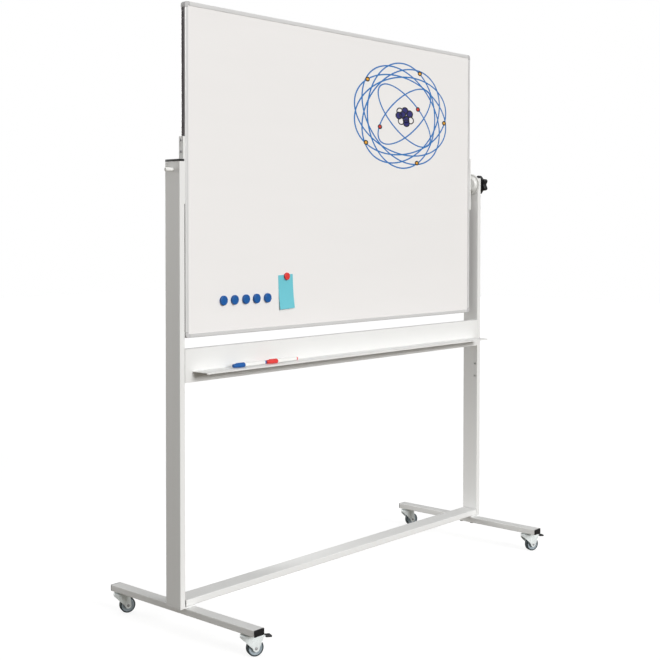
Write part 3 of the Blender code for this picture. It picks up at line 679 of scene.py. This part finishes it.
class WHITEBOARD_OT_stand(bpy.types.Operator):
    """Coats the stand's metalwork and caps its tubes"""

    bl_idname = "whiteboard.stand"
    bl_label = "Stand"

    def execute(self, context):
        coated = ["crossbar", "tray_panel", "tray_shelf"]
        bolts = []
        for side in SIDES:
            coated += [f"foot_{side}", f"base_plate_{side}", f"upright_{side}"]
            bolts += [f"foot_bolt_{side}_{end}" for end in ENDS]
        paint(context, coated, "coat")
        paint(context, bolts, "bolt")
        for side in SIDES:
            self.cap_upright(context, side)
            for end, sign in ENDS.items():
                self.cap_foot(context, side, end, sign)
        return {"FINISHED"}

    def cap_upright(self, context, side):
        node = f"upright_cap_{side}"
        low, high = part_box(node)
        tube_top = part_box(f"upright_{side}")[1].z
        middle = (low + high) / 2
        size = high - low
        shape = Shape()
        plate = rounded_rectangle(size.x, size.y, TUBE_RADIUS)
        place = Matrix.Translation((middle.x, middle.y, tube_top + SEAM))
        shape.add(slab(plate, high.z - tube_top - SEAM, CAP_EDGE), place)
        plug = (size.x - PLUG_PLAY, size.y - PLUG_PLAY, tube_top - low.z)
        place = Matrix.Translation((middle.x, middle.y, (tube_top + low.z) / 2))
        shape.add(block(plug, CAP_EDGE), place)
        shape.piece(f"{node}_moulded", finish(context, "black"), "stand", "black_plastic", [node])

    def cap_foot(self, context, side, end, sign):
        node = f"foot_cap_{side}_{end}"
        low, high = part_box(node)
        middle = (low + high) / 2
        size = high - low
        outer = low.y if sign < 0 else high.y
        inner = outer - sign * FOOT_CAP
        shape = Shape()
        plate = rounded_rectangle(size.x, size.z, TUBE_RADIUS)
        shape.add(slab(plate, FOOT_CAP, CAP_EDGE), facing((middle.x, inner, middle.z), (0, sign, 0)))
        plug = (size.x - PLUG_PLAY, size.y - FOOT_CAP, size.z - PLUG_PLAY)
        plug_y = middle.y - sign * FOOT_CAP / 2
        shape.add(block(plug, CAP_EDGE), Matrix.Translation((middle.x, plug_y, middle.z)))
        shape.piece(f"{node}_moulded", finish(context, "black"), "stand", "black_plastic", [node])


class WHITEBOARD_OT_board(bpy.types.Operator):
    """Finishes the board: enamel, frame, corners and pivot bars"""

    bl_idname = "whiteboard.board"
    bl_label = "Board"

    def execute(self, context):
        paint(context, ["writing_sheet_front", "writing_sheet_rear"], "enamel")
        paint(context, ["frame_top", "frame_bottom"], "frame_across")
        paint(context, ["frame_left", "frame_right"], "frame_upright")
        corners = [f"frame_corner_{level}_{side}" for level in ("top", "bottom") for side in SIDES]
        paint(context, corners, "corner")
        paint(context, ["board_core"], "core")
        paint(context, ["pivot_bar_left", "pivot_bar_right"], "coat")
        return {"FINISHED"}


class WHITEBOARD_OT_tilt(bpy.types.Operator):
    """Makes the tilt fittings: pivot pin, friction disc and clamp knob"""

    bl_idname = "whiteboard.tilt"
    bl_label = "Tilt fittings"

    def execute(self, context):
        paint(context, ["clamp_bolt"], "zinc")
        self.pin(context)
        self.disc(context)
        self.knob(context)
        return {"FINISHED"}

    def pin(self, context):
        low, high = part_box("pivot_pin")
        reach = high.x - low.x
        shoulder = high.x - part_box("pivot_bar_left")[0].x + SEAM
        shoulder_end = high.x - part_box("upright_left")[1].x - SEAM
        radius = (high.z - low.z) / 2
        tip = arc((PIN_RADIUS - PIN_TIP, reach - PIN_TIP), PIN_TIP, 0, 90, 6)
        profile = [
            (0, 0),
            (PIN_RADIUS, 0),
            (PIN_RADIUS, shoulder),
            (radius - PIN_EDGE, shoulder),
            (radius, shoulder + PIN_EDGE),
            (radius, shoulder_end - PIN_EDGE),
            (radius - PIN_EDGE, shoulder_end),
            (PIN_RADIUS, shoulder_end),
            *tip,
            (0, reach),
        ]
        place = facing((high.x, 0, tilt_point().z), (-1, 0, 0))
        kind = (finish(context, "white"), "board", "white_plastic", ["pivot_pin"])
        single(turned(profile), place, "pivot_pin_turned", *kind)

    def disc(self, context):
        low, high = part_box("friction_disc")
        depth = high.x - low.x
        radius = (high.z - low.z) / 2
        flange = depth - DISC_FLANGE
        rim_edge = DISC_FLANGE / 3
        rim = arc((radius - rim_edge, flange + rim_edge), rim_edge, -90, 0, 5)
        outside = arc((radius - rim_edge, depth - rim_edge), rim_edge, 0, 90, 5)
        profile = [
            (PIN_RADIUS + SEAM, depth),
            (PIN_RADIUS + SEAM, 0),
            (DISC_BOSS_RADIUS - DISC_BOSS_EDGE, 0),
            *arc((DISC_BOSS_RADIUS - DISC_BOSS_EDGE, DISC_BOSS_EDGE), DISC_BOSS_EDGE, -90, 0, 5),
            (DISC_BOSS_RADIUS + DISC_BOSS_FLARE, flange),
            *rim,
            *outside,
        ]
        place = facing((low.x, 0, tilt_point().z), (1, 0, 0))
        kind = (finish(context, "white"), "board", "white_plastic", ["friction_disc"])
        single(turned(profile, 96, ring=True), place, "friction_disc_turned", *kind)

    def knob(self, context):
        low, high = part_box("clamp_knob")
        mean = (KNOB_RADIUS + KNOB_VALLEY) / 2
        swing = (KNOB_RADIUS - KNOB_VALLEY) / 2
        count = KNOB_LOBES * 20
        star = []
        for step in range(count):
            angle = 2 * math.pi * step / count
            radius = mean + swing * math.cos(KNOB_LOBES * angle)
            star.append((-radius * math.sin(angle), radius * math.cos(angle)))
        height = tilt_point().z
        head = facing((low.x + KNOB_HUB, 0, height), (1, 0, 0))
        shape = Shape()
        shape.add(slab(star, high.x - low.x - KNOB_HUB, KNOB_EDGE, 5), head)
        hub = [
            (PIN_RADIUS + SEAM, 0),
            (KNOB_HUB_RADIUS - KNOB_HUB_EDGE, 0),
            *arc((KNOB_HUB_RADIUS - KNOB_HUB_EDGE, KNOB_HUB_EDGE), KNOB_HUB_EDGE, -90, 0, 5),
            (KNOB_HUB_RADIUS, KNOB_HUB - KNOB_HUB_FLARE),
            (KNOB_HUB_RADIUS + KNOB_HUB_FLARE / 2, KNOB_HUB),
            (PIN_RADIUS + SEAM, KNOB_HUB),
        ]
        shape.add(turned(hub, ring=True), facing((low.x, 0, height), (1, 0, 0)))
        material = finish(context, "black")
        shape.piece("clamp_knob_moulded", material, "knob", "black_plastic", ["clamp_knob"])


class WHITEBOARD_OT_casters(bpy.types.Operator):
    """Makes the four casters: stem, fork, axle, wheel and tyre"""

    bl_idname = "whiteboard.casters"
    bl_label = "Casters"

    def execute(self, context):
        for side, end in CASTERS:
            self.stem(context, side, end)
            self.fork(context, side, end)
            self.wheel(context, side, end)
        return {"FINISHED"}

    def stem(self, context, side, end):
        """The fixed half: threaded stem, raceway and the riveted kingpin."""
        label = f"{side}_{end}"
        low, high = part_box(f"caster_stem_{label}")
        race_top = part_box(f"foot_{side}")[0].z - SEAM
        race_edge = (race_top - FORK_TOP) / 3
        rivet = FORK_TOP - FORK_SHEET - SEAM
        profile = [
            (0, high.z),
            (STEM_RADIUS, high.z),
            (STEM_RADIUS, race_top),
            *arc((RACE_RADIUS - race_edge, race_top - race_edge), race_edge, 90, 0, 4),
            *arc((RACE_RADIUS - race_edge, FORK_TOP + 2 * race_edge), race_edge, 0, -90, 4),
            (STEM_RADIUS, FORK_TOP + race_edge),
            (STEM_RADIUS, rivet),
            *arc((0, low.z + RIVET_RADIUS), RIVET_RADIUS, 0, -90, 6),
        ]
        node = f"caster_stem_{label}"
        kind = (finish(context, "zinc"), "stand", "zinc_steel", [node])
        single(turned(profile, 48), caster_frame(side, end), f"{node}_turned", *kind)

    def fork(self, context, side, end):
        """A pressed fork: a plan with walls drawn down, trimmed to the side outline."""
        trail, axle = caster_trail(side, end)
        back = trail + LEG_TOP[end]
        form = self.drawn(max(back, trail + LEG_END_RADIUS))
        legs = form.copy()
        flare = JOINTS["brake_pedal_left"]["pos_m"][2]
        leg_end = arc((trail, axle), LEG_END_RADIUS, 180, 360, 12)
        self.trim(form, [(-CROWN_RADIUS, FORK_TOP - SKIRT_HEIGHT), leg_end[0]])
        self.trim(form, [leg_end[0], leg_end[-1], (back, flare)])
        self.trim(legs, [*leg_end, leg_end[0]])
        data = bpy.data.meshes.new("legs")
        legs.to_mesh(data)
        legs.free()
        form.from_mesh(data)
        bpy.data.meshes.remove(data)
        bmesh.ops.remove_doubles(form, verts=form.verts[:], dist=MERGE)
        bmesh.ops.recalc_face_normals(form, faces=form.faces[:])
        top = max(form.faces, key=lambda face: face.calc_center_median().z)
        if top.normal.z < 0:
            bmesh.ops.reverse_faces(form, faces=form.faces[:])
        bmesh.ops.solidify(form, geom=form.faces[:], thickness=FORK_SHEET)
        label = f"{side}_{end}"
        node = f"caster_fork_{label}"
        kind = (finish(context, "zinc"), f"caster_{label}", "zinc_steel", [node])
        single(form, caster_frame(side, end), f"{node}_pressed", *kind)

    def drawn(self, back):
        """The fork before it is trimmed: a crown with its hole, and walls down to the floor."""
        meet = math.degrees(math.asin(LEG_OUTSIDE / CROWN_RADIUS))
        plan = [(back, LEG_OUTSIDE)] + arc((0, 0), CROWN_RADIUS, meet, 360 - meet, 40)
        plan.append((back, -LEG_OUTSIDE))
        form = bmesh.new()
        rim = loop(form, plan, FORK_TOP)
        hole = loop(form, arc((0, 0), STEM_HOLE, 0, 345, 23), FORK_TOP)
        bmesh.ops.triangle_fill(form, use_beauty=True, edges=rim + hole)
        walls = bmesh.ops.extrude_edge_only(form, edges=rim[:-1])["geom"]
        low = [item for item in walls if isinstance(item, bmesh.types.BMVert)]
        bmesh.ops.translate(form, vec=(0, 0, -FORK_TOP), verts=low)
        round_edges(form, rim[:-1], CROWN_EDGE, 4)
        return form

    def trim(self, form, outline):
        """Cuts away what lies to the right of each stretch of a side outline."""
        for start, stop in zip(outline, outline[1:]):
            along = (stop[0] - start[0], stop[1] - start[1])
            bmesh.ops.bisect_plane(
                form,
                geom=form.verts[:] + form.edges[:] + form.faces[:],
                dist=MERGE,
                plane_co=(start[0], 0, start[1]),
                plane_no=(along[1], 0, -along[0]),
                clear_outer=True,
            )

    def wheel(self, context, side, end):
        """A ringed core and a round-shouldered tyre on an axle with domed heads."""
        label = f"{side}_{end}"
        joint = JOINTS[f"wheel_spin_{label}"]
        place = facing(joint["pos_m"], joint["axis"])
        radius = joint["pos_m"][2]
        ring_top = WEB_SIDE + RING_HEIGHT
        rim_foot = CORE_RIM - RIM_LAND
        core = [
            (AXLE_RADIUS + SEAM, HUB_SIDE),
            *arc((HUB_RADIUS - HUB_EDGE, HUB_SIDE - HUB_EDGE), HUB_EDGE, 90, 0, 4),
            *arc((HUB_RADIUS + HUB_FILLET, WEB_SIDE + HUB_FILLET), HUB_FILLET, 180, 270, 4),
            *arc((RING_RADIUS - RING_FILLET, WEB_SIDE + RING_FILLET), RING_FILLET, -90, 0, 3),
            *arc((RING_RADIUS + RIM_EDGE, ring_top - RIM_EDGE), RIM_EDGE, 180, 90, 3),
            (rim_foot - RIM_EDGE, ring_top),
            *arc((rim_foot + RIM_EDGE, RIM_SIDE - RIM_EDGE), RIM_EDGE, 180, 90, 3),
            (CORE_RIM, RIM_SIDE),
        ]
        node = f"wheel_core_{label}"
        kind = (finish(context, "wheel"), f"wheel_{label}", "wheel_plastic", [node])
        single(turned(both_sides(core), ring=True), place, f"{node}_moulded", *kind)
        shoulder = (radius - TYRE_SHOULDER, TYRE_SIDE - TYRE_SHOULDER)
        rubber = [(TYRE_INNER, TYRE_SIDE - TYRE_BEAD[1]), (TYRE_INNER + TYRE_BEAD[0], TYRE_SIDE)]
        rubber += arc(shoulder, TYRE_SHOULDER, 90, 0, 8)
        node = f"tyre_{label}"
        kind = (finish(context, "rubber"), f"wheel_{label}", "tyre_rubber", [node])
        single(turned(both_sides(rubber), 96, ring=True), place, f"{node}_moulded", *kind)
        leg = LEG_OUTSIDE + SEAM
        pin = arc((0, leg), AXLE_HEAD_RADIUS, 90, 0, 8)
        flat = AXLE_HEAD / AXLE_HEAD_RADIUS
        pin = [(across, leg + (height - leg) * flat) for across, height in pin]
        pin.append((AXLE_RADIUS, leg))
        node = f"wheel_axle_{label}"
        kind = (finish(context, "bolt"), f"caster_{label}", "zinc_steel", [node])
        single(turned(both_sides(pin), 32), place, f"{node}_turned", *kind)


class WHITEBOARD_OT_brakes(bpy.types.Operator):
    """Makes the front casters' brake levers and their pads"""

    bl_idname = "whiteboard.brakes"
    bl_label = "Brakes"

    def execute(self, context):
        for side in SIDES:
            self.lever(context, side)
            self.pad(context, side)
        return {"FINISHED"}

    def pedal_frame(self, side):
        """The lever's plane: local X along the trail, local Y up, local Z along the pin."""
        pin = Vector(JOINTS[f"brake_pedal_{side}"]["pos_m"])
        turn = caster_frame(side, "front").to_3x3().to_4x4()
        return Matrix.Translation(pin) @ turn @ Matrix.Rotation(math.pi / 2, 4, "X")

    def lever(self, context, side):
        place = self.pedal_frame(side)
        shape = Shape()
        centred = Matrix.Translation((0, 0, -LEVER_WIDTH / 2))
        bar = slab(strip(LEVER_PATH, LEVER_SHEET), LEVER_WIDTH, LEVER_SHEET / 6, 2)
        shape.add(bar, place @ centred)
        shoe = (LEVER_SHEET, LEVER_PATH[1][1] + SHOE_DOWN, LEVER_WIDTH - LEVER_SHEET)
        middle = Matrix.Translation((SHOE_OUT, (LEVER_PATH[1][1] - SHOE_DOWN) / 2, 0))
        shape.add(block(shoe, LEVER_SHEET / 4), place @ middle)
        pin_half = LEG_OUTSIDE + PIN_PROUD
        pin = [(0, pin_half)] + arc(
            (LEVER_PIN_RADIUS - PIN_PROUD / 2, pin_half - PIN_PROUD / 2), PIN_PROUD / 2, 90, 0, 4
        )
        shape.add(turned(both_sides(pin), 32), place)
        node = f"brake_lever_{side}_front"
        material = finish(context, "zinc")
        shape.piece(f"{node}_bent", material, f"brake_{side}", "zinc_steel", [node])

    def pad(self, context, side):
        (start_x, start_y), (end_x, end_y) = LEVER_PATH[-2:]
        slope = math.atan2(end_y - start_y, end_x - start_x)
        place = self.pedal_frame(side) @ Matrix.Translation((*PAD_MIDDLE, 0))
        place = place @ Matrix.Rotation(slope, 4, "Z")
        shape = Shape()
        shape.add(block(PAD_SIZE, PAD_EDGE, 4), place)
        pitch = PAD_SIZE[0] / (PAD_RIBS + 1)
        for rib in range(PAD_RIBS):
            along = (rib - (PAD_RIBS - 1) / 2) * pitch
            middle = Matrix.Translation((along, PAD_SIZE[1] / 2, 0))
            bump = (pitch / 2, PAD_RIB, PAD_SIZE[2] * PAD_RIB_SHARE)
            shape.add(block(bump, PAD_RIB / 3), place @ middle)
        node = f"brake_pad_{side}_front"
        material = finish(context, "black")
        shape.piece(f"{node}_moulded", material, f"brake_{side}", "black_plastic", [node])


class WHITEBOARD_OT_screws(bpy.types.Operator):
    """Adds the screws in the pivot bars and the frame"""

    bl_idname = "whiteboard.screws"
    bl_label = "Screws"

    def execute(self, context):
        pivot = tilt_point().z
        for side, sign in SIDES.items():
            bars = Shape()
            low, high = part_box(f"pivot_bar_{side}")
            face = low.x if sign < 0 else high.x
            for rise in BAR_SCREWS:
                for way in (-1, 1):
                    place = facing((face, 0, pivot + way * rise), (sign, 0, 0))
                    bars.add(turned(screw_head(*BAR_SCREW), 32), place)
            bars.piece(f"bar_screws_{side}", finish(context, "bolt"), "board", "dark_steel")
            low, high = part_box(f"frame_{side}")
            face = low.x + FRAME_GROOVE if sign < 0 else high.x - FRAME_GROOVE
            rim = Shape()
            for drop in FRAME_SCREWS:
                place = facing((face, 0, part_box("frame_top")[1].z - drop), (sign, 0, 0))
                rim.add(turned(screw_head(*FRAME_SCREW), 24), place)
            rim.piece(f"frame_screws_{side}", finish(context, "bolt"), "board", "dark_steel")
        return {"FINISHED"}


class WHITEBOARD_OT_drawing(bpy.types.Operator):
    """Draws a textbook atom in marker ink on the front sheet"""

    bl_idname = "whiteboard.drawing"
    bl_label = "Drawing"

    def execute(self, context):
        sizes = context.scene.whiteboard_sizes
        board = facing((DRAWING_MIDDLE[0], front_sheet(), DRAWING_MIDDLE[1]), (0, -1, 0))
        scale = Matrix.Diagonal((sizes.drawing_width / 2, sizes.drawing_height / 2, 1, 1))
        place = board @ scale
        inside = place @ Matrix.Translation((*INNER_MIDDLE, 0))
        lines = Shape()
        orbits = [(OUTER_ORBIT, turn, place) for turn in OUTER_TURNS]
        orbits += [(INNER_ORBIT, turn, inside) for turn in INNER_TURNS]
        for level, (axes, turn, middle) in enumerate(orbits):
            self.ring(lines, axes, turn, INK_WIDTH, middle, INK_DEPTH * (1 + level / 10))
        lines.piece("ink_orbits", finish(context, "ink_blue"), "board")
        outlines = Shape()
        outer = []
        for turn in OUTER_DOTS:
            angle = math.radians(turn)
            outer.append((OUTER_DOTS_RADIUS * math.cos(angle), OUTER_DOTS_RADIUS * math.sin(angle)))
        self.dots(context, outlines, "ink_outer_dots", "ink_orange", outer, DOT, place)
        self.dots(context, outlines, "ink_inner_dots", "ink_red", INNER_DOTS, DOT, inside)
        self.dots(context, outlines, "ink_nucleus", "ink_violet", NUCLEUS_FILLED, NUCLEON, inside)
        for centre in NUCLEUS_OPEN:
            self.ring(outlines, (NUCLEON, NUCLEON), 0, OUTLINE, inside, INK_DEPTH * 1.2, centre)
        outlines.piece("ink_outlines", finish(context, "ink_dark"), "board")
        return {"FINISHED"}

    def ring(self, shape, axes, turn, width, place, depth, centre=(0, 0)):
        """A closed line round an ellipse."""
        form = bmesh.new()
        circle = arc((0, 0), 1, 0, 360 - 360 / 96, 95)
        edges = []
        for offset in (-width / 2, width / 2):
            edges += loop(form, [(x * (axes[0] + offset), y * (axes[1] + offset)) for x, y in circle])
        raised(form, bmesh.ops.bridge_loops(form, edges=edges)["faces"], depth)
        shift = Matrix.Translation((*centre, 0)) @ Matrix.Rotation(math.radians(turn), 4, "Z")
        shape.add(form, place @ shift)

    def dots(self, context, outlines, name, ink, centres, radius, place):
        """Filled dots with a dark outline."""
        fill = Shape()
        for level, (x, y) in enumerate(centres):
            disc = arc((x, y), radius, 0, 360 - 360 / 32, 31)
            fill.add(slab(disc, INK_DEPTH * (2 + level / 10)), place)
            depth = INK_DEPTH * (2.1 + level / 10)
            self.ring(outlines, (radius, radius), 0, OUTLINE, place, depth, (x, y))
        fill.piece(name, finish(context, ink), "board")


class WHITEBOARD_OT_magnets(bpy.types.Operator):
    """Puts a row of magnets and a note under a small magnet on the front sheet"""

    bl_idname = "whiteboard.magnets"
    bl_label = "Magnets and note"

    def execute(self, context):
        sizes = context.scene.whiteboard_sizes
        for number, x in enumerate(MAGNET_ROW, 1):
            place = facing((x, front_sheet(), MAGNET_HEIGHT), (0, -1, 0))
            self.magnet(context, f"magnet_{number}", "blue", sizes.magnet, place)
        self.note(context, sizes)
        place = facing((NOTE_MAGNET[0], front_sheet() - PAPER, NOTE_MAGNET[1]), (0, -1, 0))
        self.magnet(context, "note_magnet", "red", sizes.small_magnet, place)
        return {"FINISHED"}

    def magnet(self, context, name, colour, diameter, place):
        radius = diameter / 2
        height = diameter * 0.27
        edge = diameter * 0.07
        profile = [
            (0, 0),
            (radius * 0.96, 0),
            (radius, height * 0.2),
            *arc((radius - edge, height - edge), edge, 0, 90, 6),
            (radius * 0.72, height),
            (radius * 0.66, height - edge * 0.4),
            (0, height - edge * 0.2),
        ]
        single(turned(profile), place, name, finish(context, colour), "board")

    def note(self, context, sizes):
        """A sheet of paper that lifts a little towards its lower edge."""
        form = bmesh.new()
        bmesh.ops.create_grid(form, x_segments=8, y_segments=24, size=0.5)
        for vert in form.verts:
            lift = NOTE_LIFT * max(0.25 - vert.co.y, 0.0) ** 2
            vert.co = (vert.co.x * sizes.note_width, vert.co.y * sizes.note_height, PAPER + lift)
        bmesh.ops.solidify(form, geom=form.faces[:], thickness=PAPER / 2)
        place = facing((NOTE_MIDDLE[0], front_sheet(), NOTE_MIDDLE[1]), (0, -1, 0))
        place = place @ Matrix.Rotation(NOTE_TURN, 4, "Z")
        single(form, place, "note", finish(context, "note"), "board")


class WHITEBOARD_OT_markers(bpy.types.Operator):
    """Lays two markers end to end on the shelf"""

    bl_idname = "whiteboard.markers"
    bl_label = "Markers"

    def execute(self, context):
        size = context.scene.whiteboard_sizes.marker
        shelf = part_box("tray_shelf")[1].z
        for number, (colour, start) in enumerate(MARKERS, 1):
            place = facing((start, MARKER_Y, shelf + MARKER_CAP_RADIUS), (1, 0, 0))
            self.marker(context, f"marker_{number}", colour, size, place)
        return {"FINISHED"}

    def marker(self, context, name, colour, size, place):
        cap_end = size * MARKER_CAP
        tail = size * MARKER_TAIL
        grip = MARKER_RADIUS
        edge = MARKER_EDGE
        cap = [
            (0, 0),
            *arc((MARKER_CAP_RADIUS - MARKER_TAPER[0] - edge, edge), edge, -90, -20, 4),
            (MARKER_CAP_RADIUS - MARKER_TAPER[1], cap_end * 0.25),
            (MARKER_CAP_RADIUS, cap_end * 0.6),
            (MARKER_CAP_RADIUS, cap_end - edge / 2),
            (MARKER_CAP_RADIUS - edge / 2, cap_end),
            (0, cap_end),
        ]
        shape = Shape()
        shape.add(turned(cap, 40), place)
        clip = Matrix.Translation((0, MARKER_CAP_RADIUS - MARKER_SEAM, cap_end * 0.62))
        shape.add(block((*CLIP_SIZE, cap_end * 0.7), CLIP_EDGE), place @ clip)
        shape.piece(f"{name}_cap", finish(context, colour), "stand")
        barrel = [
            (0, cap_end + MARKER_SEAM),
            (grip, cap_end + MARKER_SEAM),
            (grip, tail - edge),
            *arc((grip - edge, tail - edge), edge, 0, 90, 4),
            (0, tail),
        ]
        single(turned(barrel, 40), place, f"{name}_barrel", finish(context, "white"), "stand")
        plug = [(0, tail + MARKER_SEAM), (grip * 0.8, tail + MARKER_SEAM)]
        plug += arc((grip * 0.8 - edge, size - edge), edge, 0, 90, 4) + [(0, size)]
        single(turned(plug, 40), place, f"{name}_tail", finish(context, colour), "stand")


class WHITEBOARD_OT_studio(bpy.types.Operator):
    """Sets up the pale floor, the soft light and the camera"""

    bl_idname = "whiteboard.studio"
    bl_label = "Studio"

    def execute(self, context):
        studio = context.scene.whiteboard_studio
        self.floor(context, studio)
        self.sun(context, "key_light", studio.key, KEY_FROM, KEY_SPREAD)
        self.sun(context, "fill_light", studio.fill, FILL_FROM, FILL_SPREAD)
        self.panel(context, studio)
        self.sky(context, studio)
        self.camera(context, studio)
        context.scene.view_settings.view_transform = "Standard"
        return {"FINISHED"}

    def floor(self, context, studio):
        work = bmesh.new()
        bmesh.ops.create_grid(work, x_segments=1, y_segments=1, size=FLOOR_SIZE / 2)
        data = bpy.data.meshes.new("floor")
        work.to_mesh(data)
        work.free()
        pale = Finish("studio_floor")
        pale.colour(pale.noise(0.7, 3.0), FLOOR_COLOUR, 0.98, 1.02)
        pale.rough(0.9)
        pale.inputs["Emission Color"].default_value = (1, 1, 1, 1)
        pale.inputs["Emission Strength"].default_value = studio.floor
        data.materials.append(pale.material)
        floor = bpy.data.objects.new("floor", data)
        floor.visible_diffuse = False
        floor.visible_glossy = False
        context.scene.collection.objects.link(floor)

    def sun(self, context, name, strength, source, spread):
        data = bpy.data.lights.new(name, "SUN")
        data.energy = strength
        data.angle = spread
        light = bpy.data.objects.new(name, data)
        light.matrix_world = facing((0, 0, 3), source)
        context.scene.collection.objects.link(light)

    def panel(self, context, studio):
        """A small soft panel under the board, which lifts the far upright and foot."""
        data = bpy.data.lights.new("panel_light", "AREA")
        data.energy = studio.panel
        data.size = PANEL_SIZE
        data.spread = PANEL_SPREAD
        light = bpy.data.objects.new("panel_light", data)
        light.matrix_world = facing(PANEL_PLACE, PANEL_FROM)
        light.visible_camera = False
        light.visible_glossy = False
        context.scene.collection.objects.link(light)

    def sky(self, context, studio):
        """A sky that is brighter above, and plain white to the camera."""
        world = bpy.data.worlds.new("studio")
        world.use_nodes = True
        context.scene.world = world
        graph = Graph(world.node_tree)
        view = graph.node("ShaderNodeTexCoord")
        height = graph.node("ShaderNodeSeparateXYZ", sockets={0: view}, output=2)
        rise = graph.node(
            "ShaderNodeMapRange", {"interpolation_type": "SMOOTHSTEP"}, {0: height, 1: -0.25, 2: 0.25}
        )
        ground = [part * studio.ground for part in GROUND_TINT]
        above = [part * studio.sky for part in SKY_TINT]
        seen = graph.node("ShaderNodeLightPath")
        colour = graph.blend(seen, graph.blend(rise, ground, above), WHITE)
        graph.feed(world.node_tree.nodes["Background"].inputs["Color"], colour)

    def camera(self, context, studio):
        data = bpy.data.cameras.new("camera")
        data.lens = studio.lens
        data.sensor_width = 36.0
        data.shift_x, data.shift_y = CAMERA_SHIFT
        data.clip_end = 50.0
        camera = bpy.data.objects.new("camera", data)
        camera.location = CAMERA_PLACE
        camera.rotation_euler = [math.radians(turn) for turn in CAMERA_TURN]
        context.scene.collection.objects.link(camera)
        context.scene.camera = camera


OPERATORS = [
    WHITEBOARD_OT_stand,
    WHITEBOARD_OT_board,
    WHITEBOARD_OT_tilt,
    WHITEBOARD_OT_casters,
    WHITEBOARD_OT_brakes,
    WHITEBOARD_OT_screws,
    WHITEBOARD_OT_drawing,
    WHITEBOARD_OT_magnets,
    WHITEBOARD_OT_markers,
    WHITEBOARD_OT_studio,
]
GROUPS = {
    "whiteboard_colours": WhiteboardColours,
    "whiteboard_sizes": WhiteboardSizes,
    "whiteboard_studio": WhiteboardStudio,
}


class WHITEBOARD_PT_sidebar(bpy.types.Panel):
    """Colours, sizes and steps of the rolling whiteboard"""

    bl_label = "Rolling whiteboard"
    bl_space_type = "VIEW_3D"
    bl_region_type = "UI"
    bl_category = "Whiteboard"

    def draw(self, context):
        for name, group in GROUPS.items():
            box = self.layout.box()
            for field in group.__annotations__:
                box.prop(getattr(context.scene, name), field)
        for operator in OPERATORS:
            self.layout.operator(operator.bl_idname)


def register():
    for made in [*GROUPS.values(), *OPERATORS, WHITEBOARD_PT_sidebar]:
        bpy.utils.register_class(made)
    for name, group in GROUPS.items():
        setattr(bpy.types.Scene, name, PointerProperty(type=group))


def unregister():
    for name in GROUPS:
        delattr(bpy.types.Scene, name)
    for made in [WHITEBOARD_PT_sidebar, *reversed(OPERATORS), *GROUPS.values()]:
        bpy.utils.unregister_class(made)


def main():
    register()
    bpy.ops.whiteboard.stand()
    bpy.ops.whiteboard.board()
    bpy.ops.whiteboard.tilt()
    bpy.ops.whiteboard.casters()
    bpy.ops.whiteboard.brakes()
    bpy.ops.whiteboard.screws()
    bpy.ops.whiteboard.drawing()
    bpy.ops.whiteboard.magnets()
    bpy.ops.whiteboard.markers()
    bpy.ops.whiteboard.studio()


if __name__ == "__main__":
    main()
